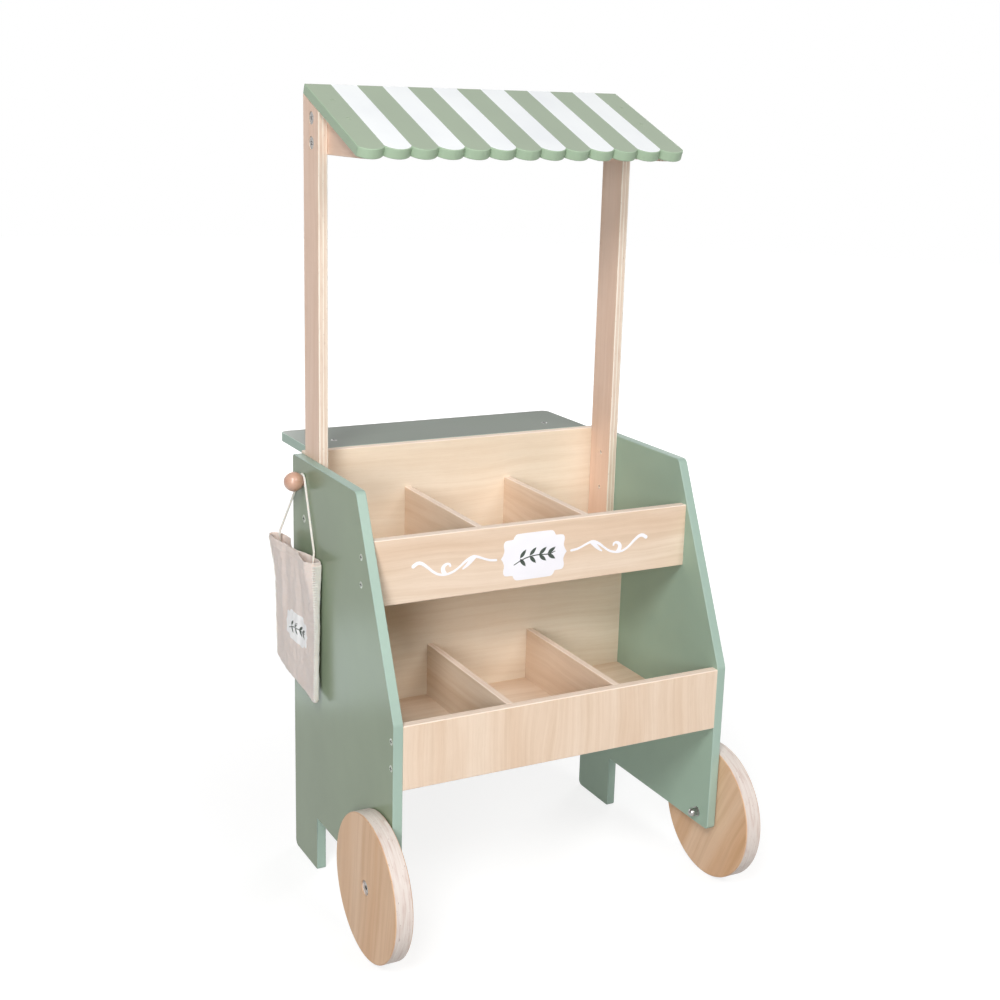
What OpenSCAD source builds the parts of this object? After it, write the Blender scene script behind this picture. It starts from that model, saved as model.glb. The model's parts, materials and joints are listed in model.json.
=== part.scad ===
// Toy market stall: two side panels on front wheels carry two open trays and a rear counter.
// Two posts hold a striped roof with a scalloped front edge, and a cloth bag hangs from a ball peg.
// +X is to the right, the front faces -Y and +Z is up. The origin is under the middle of the stall.
// A depth d is measured forward from the rear edge of the side panels.

/* [Side panels] */
// Clear width between the two side panels
inner_w = 426; // [340:1:600]
// Thickness of the side panels
panel_t = 12; // [10:0.5:18]
// Height of the panels' level top edge
panel_h = 534; // [490:1:640]
// Depth of the panels at the top edge
panel_top_d = 205; // [170:1:250]
// Depth of the panels below the knee
panel_d = 315; // [280:1:380]
// Height of the knee, where the slanted front edge ends
knee_h = 292; // [250:1:330]
// Depth of the rear foot
foot_d = 79; // [50:1:120]
// Radius of the panels' corners
panel_corner_r = 5; // [1:0.5:12]

/* [Trays] */
// Thickness of the front boards
front_t = 12; // [10:0.5:16]
// Height of the upper front board
upper_front_h = 79; // [50:1:100]
// Drop from the panels' top edge to the upper front board
upper_front_drop = 54; // [30:1:80]
// Setback of the upper front board from the slanted edge
upper_front_setback = 2.5; // [0:0.5:8]
// Height of the lower front board
lower_front_h = 78; // [50:1:100]
// Drop from the knee to the lower front board
lower_front_drop = 2; // [0:0.5:10]
// Thickness of the two shelves
shelf_t = 9; // [8:0.5:12]
// Thickness of the dividers
divider_t = 9; // [6:0.5:12]
// Radius eased on the boards' long edges
edge_r = 1.2; // [0.4:0.1:2]

/* [Back boards and counter] */
// Thickness of the back boards
back_t = 12; // [10:0.5:16]
// Depth from the panels' rear edge to the lower back board
lower_back_d = 75; // [40:1:110]
// Height of the counter's top above the panels
counter_rise = 3; // [0:0.5:10]
// Reach of the counter behind the panels
counter_d = 114.5; // [100:0.5:160]
// Thickness of the counter top
counter_t = 12; // [9:0.5:18]
// Radius of the counter's rear corners
counter_corner_r = 10; // [2:0.5:30]
// Thickness of the brackets under the counter
bracket_t = 12; // [10:0.5:18]
// Reach of a bracket behind the upper back board
bracket_d = 84; // [60:1:95]
// Height of a bracket
bracket_h = 90; // [60:1:110]
// Height of a bracket's blunt nose
bracket_nose = 12; // [6:1:20]
// Distance from the counter's end to the middle of a bracket
bracket_inset = 46; // [20:1:100]

/* [Roof and posts] */
// Height of the roof's rear top edge
roof_h = 977.5; // [850:0.5:1150]
// Thickness of the roof board
roof_t = 12; // [9:0.5:16]
// Slope of the roof in degrees
roof_pitch = 22; // [15:0.5:30]
// Length of the roof along its slope, down to the feet of the scallops
roof_len = 173; // [165:1:220]
// Number of stripes, each of which ends in one scallop
stripe_count = 13; // [5:2:21]
// Height of a scallop
scallop_h = 9; // [4:0.5:12]
// Thickness of the posts
post_t = 12; // [10:0.5:18]
// Width of the posts
post_w = 48; // [36:1:70]
// Thickness of the roof gussets
gusset_t = 12; // [10:0.5:18]
// Depth of the roof gussets
gusset_d = 151; // [110:1:155]
// Height of a gusset's blunt nose
gusset_nose = 7; // [4:0.5:16]

/* [Wheels] */
// Diameter of the wheels
wheel_d = 175; // [140:1:220]
// Thickness of the wheels
wheel_t = 22; // [15:0.5:30]
// Radius eased on a wheel's rim
wheel_edge_r = 1.5; // [0.5:0.1:3]
// Distance from the panels' front edge to the axle
axle_setback = 24; // [16:1:50]
// Height of the axle above the panels' bottom edge
axle_edge = 15.5; // [12:0.5:30]
// Diameter of the axle bolts
axle_bolt_d = 6; // [5:0.5:8]
// Diameter of an axle bolt's head
axle_head_d = 14; // [12:0.5:16]
// Thickness of an axle bolt's head
axle_head_t = 4; // [3:0.5:5]
// Diameter of the recess for the head in a wheel
axle_recess_d = 18; // [17:0.5:24]
// Depth of the recess for the head in a wheel
axle_recess = 6; // [5.5:0.5:9]
// Diameter of the axle washers
washer_d = 13; // [12:0.5:20]
// Thickness of the axle washers
washer_t = 1.2; // [0.8:0.1:2]
// Width of a cap nut across its flats
cap_nut_w = 10; // [9.5:0.5:13]
// Height of a cap nut below its dome
cap_nut_h = 6; // [5:0.5:8]

/* [Fasteners] */
// Diameter of the wood screws
screw_d = 4; // [3:0.5:4.5]
// Diameter of a wood screw's head
screw_head_d = 8; // [6:0.5:9]
// Length of a wood screw beyond the board that it holds
screw_grip = 18; // [12:1:24]
// Diameter of the bolts that hold the posts to the panels
post_bolt_dia = 5; // [4:0.5:6]
// Diameter of a post bolt's head
post_bolt_head_d = 10; // [8:0.5:12]
// Depth of the open end of a post bolt's hole
post_bolt_short = 3; // [2:0.5:5]
// Diameter of the bolts that hold the gussets to the posts
gusset_bolt_d = 6; // [5:0.5:6.5]
// Diameter of a gusset bolt's head
gusset_head_d = 14; // [12:0.5:16]
// Thickness of a gusset bolt's head
gusset_head_t = 2.8; // [2:0.1:4]
// Outer diameter of a sleeve nut
sleeve_d = 8; // [7.5:0.5:10]
// Diameter of a sleeve nut's flange
sleeve_flange_d = 13; // [11:0.5:16]
// Thickness of a sleeve nut's flange
sleeve_flange_t = 1.6; // [1:0.1:3]
// Length of a dowel in the board that it holds
dowel_grip = 16; // [10:1:24]

/* [Peg and bag] */
// Diameter of the peg's ball
peg_d = 24.5; // [20:0.5:30]
// Diameter of the peg's neck
peg_neck_d = 13; // [10:0.5:13]
// Distance from the panel to the ball's centre
peg_reach = 13.2; // [12:0.1:18]
// Width of the bag
bag_w = 128; // [90:1:160]
// Height of the bag
bag_h = 177; // [120:1:220]
// Drop from the peg's axis to the bag's mouth
bag_drop = 80; // [60:1:110]
// Distance from the panel to the middle of the bag
bag_off = 12; // [12:0.5:20]
// Thickness of the bag across its open mouth
bag_mouth = 13; // [10:0.5:14]
// Thickness of the bag along its lower fold
bag_fold = 4.4; // [4:0.1:6]
// Thickness of the bag's cloth, hem included
bag_wall = 1.4; // [0.8:0.1:1.6]
// Width of the bag's side seams
bag_seam = 3; // [2:0.5:5]
// Turn of the bag's mouth away from the panel in degrees
bag_twist = 7; // [0:0.5:8]
// Lean of the bag's front side below level in degrees
bag_tilt = 3.5; // [0:0.5:6]
// Diameter of the bag's cord
cord_d = 3; // [2:0.1:3]

/* [Hidden] */

$fn = 64;
// Steps in a rounded corner of an outline
corner_steps = 5;
// How far a cut runs past the face that it opens
overrun = 1;
// Radial room round a bolt, screw or dowel, and round a wheel's axle
fit_gap = 0.05;
// Room at the end of a blind hole
end_gap = 0.5;
// Room between a wheel and what lies beside it
side_gap = 0.3;
// Depth of a hex socket, as a share of its head
socket_depth_share = 0.6;
// Width of a hex socket across its corners, as a share of its head
socket_width_share = 0.42;
// Height of a countersunk head, as a share of its diameter
head_height_share = 0.3;
// Depth of a gusset bolt's head below the post's face
head_sink = 0.6;

// Widths and depths of the carcass
half_in = inner_w / 2;
panel_out = half_in + panel_t;
post_in = half_in - post_t;
gusset_in = post_in - gusset_t;
bin_w = (inner_w - 2 * divider_t) / 3;
divider_x = (bin_w + divider_t) / 2;
axle_d = panel_d - axle_setback;
axle_z = wheel_d / 2;
notch_h = axle_z - axle_edge;
y_mid = (axle_d + wheel_d / 2 - counter_d) / 2;
function fy(d) = y_mid - d;

// Heights of the trays and the counter
upper_front_top = panel_h - upper_front_drop;
upper_tray_z = upper_front_top - upper_front_h;
upper_floor_z = upper_tray_z + shelf_t;
lower_front_top = knee_h - lower_front_drop;
lower_tray_z = lower_front_top - lower_front_h;
lower_floor_z = lower_tray_z + shelf_t;
counter_z = panel_h + counter_rise;

// Depth of the slanted front edge at a height
function slant_d(z) = panel_top_d + (panel_d - panel_top_d) * (panel_h - z) / (panel_h - knee_h);
upper_front_d = slant_d(upper_front_top) - upper_front_setback;
lower_back_front = lower_back_d + back_t;
lower_back_h = upper_tray_z - lower_tray_z;
upper_shelf_front = upper_front_d - front_t;
lower_shelf_front = panel_d - front_t;

// Posts, gussets and the roof's underside
post_back_d = back_t;
post_front_d = post_back_d + post_w;
roof_rear_z = roof_h - roof_t * cos(roof_pitch);
function under_z(d) = roof_rear_z - (d - post_back_d) * tan(roof_pitch);
gusset_front_d = post_back_d + gusset_d;
gusset_z = under_z(gusset_front_d) - gusset_nose;
stripe_w = inner_w / stripe_count;
scallop_r = (pow(stripe_w / 2, 2) + pow(scallop_h, 2)) / (2 * scallop_h);

// Places of the fasteners, as shares of the boards that they hold
front_screw_shares = [0.35, 0.765];
dowel_place_shares = [0.2, 0.8];
bracket_dowel_shares = [0.35, 0.7];
roof_screw_shares = [0.27, 0.57];
counter_screw_share = 0.45;
post_bolt_line_share = 0.5625;
post_bolt_shares = [0.4, 0.79];
gusset_bolt_shares = [0.22, 0.71];
dowel_width_share = 2 / 3;
dowel_depth_share = 2 / 3;

post_bolt_d = post_back_d + post_w * post_bolt_line_share;
function post_bolt_z(share) = upper_floor_z + (panel_h - upper_floor_z) * share;
function gusset_bolt_z(share) = gusset_z + (under_z(post_bolt_d) - gusset_z) * share;
peg_z = post_bolt_z(post_bolt_shares[1]);
dowel_d = shelf_t * dowel_width_share;
gusset_head_recess = gusset_head_t + head_sink;
bracket_x = post_in - bracket_inset;
bracket_top = counter_z - counter_t;

// Wheel, axle and nut places along X
wheel_in_x = panel_out + washer_t + side_gap;
axle_head_x = wheel_in_x + wheel_t - axle_recess + side_gap;
cap_nut_x = half_in - washer_t;
cap_nut_bore = cap_nut_h - end_gap;
axle_bolt_len = axle_head_x - cap_nut_x + cap_nut_bore - end_gap;

// Peg: depth of the stud in the ball, as a share of the ball
peg_bore_share = 0.2;
peg_bore = peg_reach + peg_d * peg_bore_share;

// Bag: rows of rings up the cloth and points round each ring
bag_rows = 8;
bag_sides = 24;
bag_mid_z = peg_z - bag_drop - bag_h / 2;

// Cord: from the rear of the bag's mouth over the peg's neck to the front of the mouth
cord_sides = 8;
cord_route = [
    [-240.0, 139.5, 431.1], [-240.0, 139.3, 433.6], [-238.9, 136.1, 440.1], [-237.8, 132.8, 446.6],
    [-236.7, 129.6, 453.1], [-235.6, 126.3, 459.6], [-234.5, 123.1, 466.1], [-233.4, 119.9, 472.6],
    [-232.3, 116.6, 479.1], [-231.2, 113.4, 485.6], [-230.1, 110.2, 492.1], [-229.0, 106.9, 498.6],
    [-227.9, 103.7, 505.1], [-226.8, 100.5, 511.6], [-226.8, 98.0, 514.6], [-226.8, 94.6, 516.1],
    [-226.8, 90.8, 516.0], [-226.8, 87.4, 514.1], [-226.8, 85.3, 511.0], [-226.9, 82.5, 504.1],
    [-227.0, 79.8, 497.2], [-227.1, 77.1, 490.3], [-227.1, 74.3, 483.4], [-227.2, 71.6, 476.5],
    [-227.3, 68.8, 469.6], [-227.4, 66.1, 462.7], [-227.5, 63.3, 455.8], [-227.6, 60.6, 448.9],
    [-227.6, 57.8, 442.0], [-227.7, 55.1, 435.1], [-227.8, 52.4, 428.3], [-227.8, 52.5, 425.8]];

// Colours
sage = "#9aab95";
birch = "#e8d0ae";
ply = "#dcc09c";
beech = "#e2b58c";
steel = "#c6c8ca";
cotton = "#e9e2d6";

// Outline helpers: a corner rounded by an arc, and an outline with all its corners rounded
function unit(v) = v / norm(v);
function rounded_corner(a, b, c, r) =
    r == 0 ? [b] :
    let (u = unit(a - b), v = unit(c - b), half = acos(u * v) / 2)
    let (centre = b + unit(u + v) * r / sin(half))
    let (from = b + u * r / tan(half) - centre, to = b + v * r / tan(half) - centre)
    [for (i = [0 : corner_steps]) centre + r * unit(from + (to - from) * i / corner_steps)];
function rounded(pts, radii) =
    let (n = len(pts))
    [for (i = [0 : n - 1])
        each rounded_corner(pts[(i + n - 1) % n], pts[i], pts[(i + 1) % n], radii[i])];
function eased_rect(y, z, w, h) =
    rounded([[y, z], [y + w, z], [y + w, z + h], [y, z + h]], [edge_r, edge_r, edge_r, edge_r]);

// Solid helpers: an outline drawn in (Y, Z) extruded along X, and a block between two depths
module slab_x(x, t) {
    translate([x, 0, 0]) rotate([90, 0, 90]) linear_extrude(t) children();
}
module block(x0, x1, d0, d1, z0, z1) {
    translate([x0, fy(d1), z0]) cube([x1 - x0, d1 - d0, z1 - z0]);
}
module both_sides() {
    children();
    mirror([1, 0, 0]) children();
}
// Turns a piece drawn upwards so that it points to the right
module facing_right(x, d, z) {
    translate([x, fy(d), z]) rotate([0, 90, 0]) children();
}

// A countersunk screw that points down from its head's flat face, and its hole
module screw(dia, head_dia, length, gap, rise) {
    head = head_dia * head_height_share;
    r = dia / 2 + gap;
    head_r = head_dia / 2 + gap;
    rotate_extrude() polygon([[0, rise], [head_r, rise], [head_r, 0], [r, gap - head],
        [r, -length - gap], [0, -length - gap]]);
}
module wood_screw(held) screw(screw_d, screw_head_d, held + screw_grip, 0, 0);
module wood_screw_hole(held) screw(screw_d, screw_head_d, held + screw_grip, fit_gap, overrun);

// A bolt with a flat round head and a hex socket, pointing down from the head's underside
module socket_bolt(dia, head_dia, head_t, length) {
    difference() {
        union() {
            cylinder(h = head_t, d = head_dia);
            translate([0, 0, -length]) cylinder(h = length + head_t / 2, d = dia);
        }
        translate([0, 0, head_t * (1 - socket_depth_share)])
            cylinder(h = head_t, d = head_dia * socket_width_share, $fn = 6);
    }
}

// A dowel that crosses the plane at zero, with its long end below
module dowel(above) {
    translate([0, 0, -dowel_grip]) cylinder(h = dowel_grip + above, d = dowel_d);
}
module dowel_hole(above) {
    translate([0, 0, -dowel_grip - end_gap])
        cylinder(h = dowel_grip + above + 2 * end_gap, d = dowel_d + 2 * fit_gap);
}

// Places of the fasteners on the right side; the left side mirrors them
module at_front_screws(front_d, z, h) {
    for (share = front_screw_shares)
        facing_right(panel_out, front_d - front_t / 2, z + h * share) children();
}
module at_upper_front_screws() at_front_screws(upper_front_d, upper_tray_z, upper_front_h) children();
module at_lower_front_screws() at_front_screws(panel_d, lower_tray_z, lower_front_h) children();
module at_shelf_dowels(back_d, front_d, z) {
    for (share = dowel_place_shares)
        facing_right(half_in, back_d + (front_d - back_d) * share, z + shelf_t / 2) children();
}
module at_upper_shelf_dowels() at_shelf_dowels(back_t, upper_shelf_front, upper_tray_z) children();
module at_lower_shelf_dowels() {
    at_shelf_dowels(lower_back_front, lower_shelf_front, lower_tray_z) children();
}
module at_back_dowels(d, z, h) {
    for (share = dowel_place_shares) facing_right(half_in, d + back_t / 2, z + h * share) children();
}
module at_upper_back_dowels() at_back_dowels(0, upper_tray_z, panel_h - upper_tray_z) children();
module at_lower_back_dowels() at_back_dowels(lower_back_d, lower_tray_z, lower_back_h) children();
module at_post_bolts(shares) {
    for (share = shares) facing_right(panel_out, post_bolt_d, post_bolt_z(share)) children();
}
module at_gusset_bolts(x) {
    for (share = gusset_bolt_shares) facing_right(x, post_bolt_d, gusset_bolt_z(share)) children();
}
module at_bracket_dowels() {
    for (share = bracket_dowel_shares)
        translate([bracket_x, fy(0), bracket_top - bracket_h * share]) rotate([90, 0, 0]) children();
}
module at_counter_screw() {
    translate([bracket_x, fy(-bracket_d * counter_screw_share), counter_z]) children();
}
// The roof's own frame: its rear lower edge, with the slope running to the front
module on_roof() {
    translate([0, fy(post_back_d), roof_rear_z]) rotate([roof_pitch, 0, 0]) children();
}
module at_roof_screws() {
    for (share = roof_screw_shares)
        on_roof() translate([post_in - gusset_t / 2, -roof_len * share, roof_t]) children();
}
module post_bolt() screw(post_bolt_dia, post_bolt_head_d, panel_t + post_t - post_bolt_short, 0, 0);
module post_bolt_hole() {
    screw(post_bolt_dia, post_bolt_head_d, panel_t + post_t + overrun, fit_gap, overrun);
}
module peg_stud_hole(length) {
    translate([0, 0, -length - overrun])
        cylinder(h = length + 2 * overrun, d = post_bolt_dia + 2 * fit_gap);
}

// Side panels
panel_points = [[0, 0], [foot_d, 0], [foot_d, notch_h], [panel_d, notch_h], [panel_d, knee_h],
    [panel_top_d, panel_h], [0, panel_h]];
panel_rounding_shares = [1.6, 0.6, 0, 1, 2, 1.6, 1];
panel_radii = panel_corner_r * panel_rounding_shares;
panel_outline = rounded([for (p = panel_points) [fy(p[0]), p[1]]], panel_radii);
module side_panel(with_peg) {
    difference() {
        slab_x(half_in, panel_t) polygon(panel_outline);
        facing_right(half_in - overrun, axle_d, axle_z)
            cylinder(h = panel_t + 2 * overrun, d = axle_bolt_d + 2 * fit_gap);
        at_upper_front_screws() wood_screw_hole(panel_t);
        at_lower_front_screws() wood_screw_hole(panel_t);
        at_post_bolts([post_bolt_shares[0]]) post_bolt_hole();
        if (with_peg) at_post_bolts([post_bolt_shares[1]]) peg_stud_hole(panel_t);
        else at_post_bolts([post_bolt_shares[1]]) post_bolt_hole();
        at_upper_shelf_dowels() dowel_hole(panel_t * dowel_depth_share);
        at_lower_shelf_dowels() dowel_hole(panel_t * dowel_depth_share);
        at_upper_back_dowels() dowel_hole(panel_t * dowel_depth_share);
        at_lower_back_dowels() dowel_hole(panel_t * dowel_depth_share);
    }
}
module left_side_panel() color(sage) mirror([1, 0, 0]) side_panel(true);
module right_side_panel() color(sage) side_panel(false);

// Front boards of the two trays
module front_board(front_d, z, h) {
    slab_x(-half_in, inner_w) polygon(eased_rect(fy(front_d), z, front_t, h));
}
module upper_front_board() color(birch) difference() {
    front_board(upper_front_d, upper_tray_z, upper_front_h);
    both_sides() at_upper_front_screws() wood_screw_hole(panel_t);
}
module lower_front_board() color(birch) difference() {
    front_board(panel_d, lower_tray_z, lower_front_h);
    both_sides() at_lower_front_screws() wood_screw_hole(panel_t);
}

// Back boards: the upper one stands at the rear edge, the lower one further in
module upper_back_board() color(birch) difference() {
    slab_x(-half_in, inner_w)
        polygon(eased_rect(fy(back_t), upper_tray_z, back_t, counter_z - upper_tray_z));
    both_sides() at_upper_back_dowels() dowel_hole(panel_t * dowel_depth_share);
    both_sides() at_bracket_dowels() dowel_hole(back_t * dowel_depth_share);
}
module lower_back_board() color(birch) difference() {
    block(-half_in, half_in, lower_back_d, lower_back_front, lower_tray_z, upper_tray_z);
    both_sides() at_lower_back_dowels() dowel_hole(panel_t * dowel_depth_share);
}

// Shelves that floor the trays
module upper_shelf() color(ply) difference() {
    block(-half_in, half_in, back_t, upper_shelf_front, upper_tray_z, upper_floor_z);
    both_sides() at_upper_shelf_dowels() dowel_hole(panel_t * dowel_depth_share);
}
module lower_shelf() color(ply) difference() {
    block(-half_in, half_in, lower_back_front, lower_shelf_front, lower_tray_z, lower_floor_z);
    both_sides() at_lower_shelf_dowels() dowel_hole(panel_t * dowel_depth_share);
}

// Dividers with an eased top edge, drawn across the bins and extruded forward
module divider(x, back_d, front_d, z, top) {
    outline = rounded([[x - divider_t / 2, z], [x + divider_t / 2, z], [x + divider_t / 2, top],
        [x - divider_t / 2, top]], [0, 0, edge_r, edge_r]);
    translate([0, fy(back_d), 0]) rotate([90, 0, 0]) linear_extrude(front_d - back_d) polygon(outline);
}
module upper_divider(x) divider(x, back_t, upper_shelf_front, upper_floor_z, upper_front_top);
module lower_divider(x) divider(x, lower_back_front, lower_shelf_front, lower_floor_z, lower_front_top);
module upper_left_divider() color(birch) upper_divider(-divider_x);
module upper_right_divider() color(birch) upper_divider(divider_x);
module lower_left_divider() color(birch) lower_divider(-divider_x);
module lower_right_divider() color(birch) lower_divider(divider_x);

// Counter behind the stall, on two brackets
module counter_top() color(sage) difference() {
    translate([0, 0, counter_z - counter_t]) linear_extrude(counter_t)
        polygon(rounded([[-post_in, fy(0)], [post_in, fy(0)], [post_in, fy(-counter_d)],
            [-post_in, fy(-counter_d)]], [0, 0, counter_corner_r, counter_corner_r]));
    both_sides() at_counter_screw() wood_screw_hole(counter_t);
}
module counter_bracket() {
    foot_z = bracket_top - bracket_h;
    difference() {
        slab_x(bracket_x - bracket_t / 2, bracket_t) polygon([[fy(0), foot_z],
            [fy(-bracket_nose), foot_z], [fy(-bracket_d), bracket_top - bracket_nose],
            [fy(-bracket_d), bracket_top], [fy(0), bracket_top]]);
        at_bracket_dowels() dowel_hole(back_t * dowel_depth_share);
        at_counter_screw() wood_screw_hole(counter_t);
    }
}
module left_counter_bracket() color(ply) mirror([1, 0, 0]) counter_bracket();
module right_counter_bracket() color(ply) counter_bracket();

// Posts: eased on their long edges and cut to the roof's slope at the top
module post() {
    difference() {
        intersection() {
            slab_x(post_in, post_t) polygon([[fy(post_back_d), upper_floor_z],
                [fy(post_front_d), upper_floor_z], [fy(post_front_d), under_z(post_front_d)],
                [fy(post_back_d), under_z(post_back_d)]]);
            translate([0, 0, upper_tray_z]) linear_extrude(roof_h - upper_tray_z)
                polygon(eased_rect(post_in, fy(post_front_d), post_t, post_w));
        }
        at_post_bolts(post_bolt_shares) peg_stud_hole(panel_t + post_t);
        at_gusset_bolts(post_in - overrun)
            cylinder(h = post_t + 2 * overrun, d = gusset_bolt_d + 2 * fit_gap);
        at_gusset_bolts(half_in - gusset_head_recess)
            cylinder(h = gusset_head_recess + overrun, d = gusset_head_d + 2 * end_gap);
    }
}
module left_post() color(birch) mirror([1, 0, 0]) post();
module right_post() color(birch) post();

// Roof gussets, bolted to the posts and screwed to the roof
module roof_gusset() {
    difference() {
        slab_x(gusset_in, gusset_t) polygon([[fy(post_back_d), gusset_z],
            [fy(gusset_front_d), gusset_z], [fy(gusset_front_d), under_z(gusset_front_d)],
            [fy(post_back_d), under_z(post_back_d)]]);
        at_gusset_bolts(gusset_in - overrun)
            cylinder(h = gusset_t + 2 * overrun, d = sleeve_d + 2 * fit_gap);
        at_roof_screws() wood_screw_hole(roof_t);
    }
}
module left_roof_gusset() color(ply) mirror([1, 0, 0]) roof_gusset();
module right_roof_gusset() color(ply) roof_gusset();

// Roof board with one scallop to each stripe along its front edge
module roof_outline() {
    translate([-half_in, -roof_len]) square([inner_w, roof_len]);
    intersection() {
        translate([-half_in, -roof_len - scallop_h]) square([inner_w, roof_len]);
        for (i = [0 : stripe_count - 1])
            translate([stripe_w * (i + 1 / 2) - half_in, scallop_r - scallop_h - roof_len])
                circle(r = scallop_r);
    }
}
module roof_board() color(sage) difference() {
    on_roof() linear_extrude(roof_t) roof_outline();
    both_sides() at_roof_screws() wood_screw_hole(roof_t);
}

// Wheels: plain discs with a recess for the bolt's head, running on the axle bolts
wheel_profile = rounded([[axle_bolt_d / 2 + fit_gap, 0], [wheel_d / 2, 0], [wheel_d / 2, wheel_t],
    [axle_recess_d / 2, wheel_t], [axle_recess_d / 2, wheel_t - axle_recess],
    [axle_bolt_d / 2 + fit_gap, wheel_t - axle_recess]],
    [0, wheel_edge_r, wheel_edge_r, wheel_edge_r / 2, 0, 0]);
module wheel() facing_right(wheel_in_x, axle_d, axle_z) rotate_extrude($fn = 128) polygon(wheel_profile);
module left_wheel() color(beech) mirror([1, 0, 0]) wheel();
module right_wheel() color(beech) wheel();

// Axle bolts, washers and cap nuts
module axle_bolt() {
    facing_right(axle_head_x, axle_d, axle_z)
        socket_bolt(axle_bolt_d, axle_head_d, axle_head_t, axle_bolt_len);
}
module left_axle_bolt() color(steel) mirror([1, 0, 0]) axle_bolt();
module right_axle_bolt() color(steel) axle_bolt();
module axle_washer(x) {
    facing_right(x, axle_d, axle_z) difference() {
        cylinder(h = washer_t, d = washer_d);
        translate([0, 0, -overrun]) cylinder(h = washer_t + 2 * overrun, d = axle_bolt_d + 2 * fit_gap);
    }
}
module axle_washers() color(steel) both_sides() {
    axle_washer(panel_out);
    axle_washer(half_in - washer_t);
}
module cap_nut() {
    difference() {
        union() {
            cylinder(h = cap_nut_h, d = cap_nut_w / cos(30), $fn = 6);
            intersection() {
                translate([0, 0, cap_nut_h]) sphere(d = cap_nut_w);
                cylinder(h = cap_nut_h + cap_nut_w, d = cap_nut_w * 2);
            }
        }
        translate([0, 0, -overrun]) cylinder(h = overrun + cap_nut_bore, d = axle_bolt_d + 2 * fit_gap);
    }
}
module axle_cap_nuts() color(steel) both_sides()
    facing_right(cap_nut_x, axle_d, axle_z) rotate([180, 0, 0]) cap_nut();

// Bolts and nuts of the posts and gussets; the peg's stud takes the upper hole on the left
module post_bolts() color(steel) {
    at_post_bolts(post_bolt_shares) post_bolt();
    mirror([1, 0, 0]) at_post_bolts([post_bolt_shares[0]]) post_bolt();
}
gusset_bolt_len = post_t + gusset_t - gusset_head_recess - end_gap;
module gusset_bolts() color(steel) both_sides() at_gusset_bolts(half_in - gusset_head_recess)
    socket_bolt(gusset_bolt_d, gusset_head_d, gusset_head_t, gusset_bolt_len);
module sleeve_nut() {
    difference() {
        union() {
            cylinder(h = sleeve_flange_t, d = sleeve_flange_d);
            cylinder(h = sleeve_flange_t + gusset_t - end_gap, d = sleeve_d);
        }
        translate([0, 0, -overrun])
            cylinder(h = sleeve_flange_t + gusset_t + 2 * overrun, d = gusset_bolt_d + 2 * fit_gap);
    }
}
module gusset_sleeve_nuts() color(steel) both_sides()
    at_gusset_bolts(gusset_in - sleeve_flange_t) sleeve_nut();

// Screws and dowels
module front_board_screws() color(steel) both_sides() {
    at_upper_front_screws() wood_screw(panel_t);
    at_lower_front_screws() wood_screw(panel_t);
}
module roof_screws() color(steel) both_sides() at_roof_screws() wood_screw(roof_t);
module counter_screws() color(steel) both_sides() at_counter_screw() wood_screw(counter_t);
module shelf_dowels() color(beech) both_sides() {
    at_upper_shelf_dowels() dowel(panel_t * dowel_depth_share);
    at_lower_shelf_dowels() dowel(panel_t * dowel_depth_share);
}
module back_board_dowels() color(beech) both_sides() {
    at_upper_back_dowels() dowel(panel_t * dowel_depth_share);
    at_lower_back_dowels() dowel(panel_t * dowel_depth_share);
}
module bracket_dowels() color(beech) both_sides() at_bracket_dowels() dowel(back_t * dowel_depth_share);

// Ball peg on the left panel, drawn on its neck and turned to face left
module peg_knob() color(beech) mirror([1, 0, 0]) facing_right(panel_out, post_bolt_d, peg_z)
    rotate_extrude() difference() {
        union() {
            square([peg_neck_d / 2, peg_reach]);
            intersection() {
                translate([0, peg_reach]) circle(d = peg_d);
                square([peg_d, peg_reach + peg_d]);
            }
        }
        translate([0, -overrun]) square([post_bolt_dia / 2 + fit_gap, peg_bore + overrun]);
    }
module peg_stud() color(steel) mirror([1, 0, 0])
    facing_right(post_in + post_bolt_short, post_bolt_d, peg_z)
        cylinder(h = panel_out - post_in - post_bolt_short + peg_bore - end_gap, d = post_bolt_dia);

// Bag: an open pouch of rings that thin out to the lower fold, with its mouth turned off the panel
function bag_half_t(f) = (bag_fold + (bag_mouth - bag_fold) * sin(90 * f)) / 2;
function bag_point(u, w, h, turn) =
    let (out = w * cos(turn) - u * sin(turn), along = u * cos(turn) + w * sin(turn))
    [-(panel_out + bag_off + out),
        fy(post_bolt_d + along * cos(bag_tilt) + h * sin(bag_tilt)),
        bag_mid_z + h * cos(bag_tilt) - along * sin(bag_tilt)];
function bag_ring(f, floor, seam, wall) =
    let (a = bag_w / 2 - seam, b = bag_half_t(f) - wall, h = floor + (bag_h - floor) * f - bag_h / 2)
    [for (k = [0 : bag_sides - 1])
        let (angle = 360 * k / bag_sides)
        bag_point(a * cos(angle), b * sin(angle), h, bag_twist * f)];
function ring_faces(rows, n) = [for (j = [0 : rows - 2], k = [0 : n - 1])
    each [[j * n + k, (j + 1) * n + k, j * n + (k + 1) % n],
        [j * n + (k + 1) % n, (j + 1) * n + k, (j + 1) * n + (k + 1) % n]]];
function fan(first, n, flip) = [for (k = [1 : n - 2])
    flip ? [first, first + k + 1, first + k] : [first, first + k, first + k + 1]];
module bag() color(cotton) {
    outer = [for (i = [0 : bag_rows]) bag_ring(i / bag_rows, 0, 0, 0)];
    inner = [for (i = [bag_rows : -1 : 0]) bag_ring(i / bag_rows, bag_seam, bag_seam, bag_wall)];
    rings = concat(outer, inner);
    polyhedron(points = [for (r = rings) each r],
        faces = concat(ring_faces(len(rings), bag_sides), fan(0, bag_sides, false),
            fan((len(rings) - 1) * bag_sides, bag_sides, true)));
}

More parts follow.
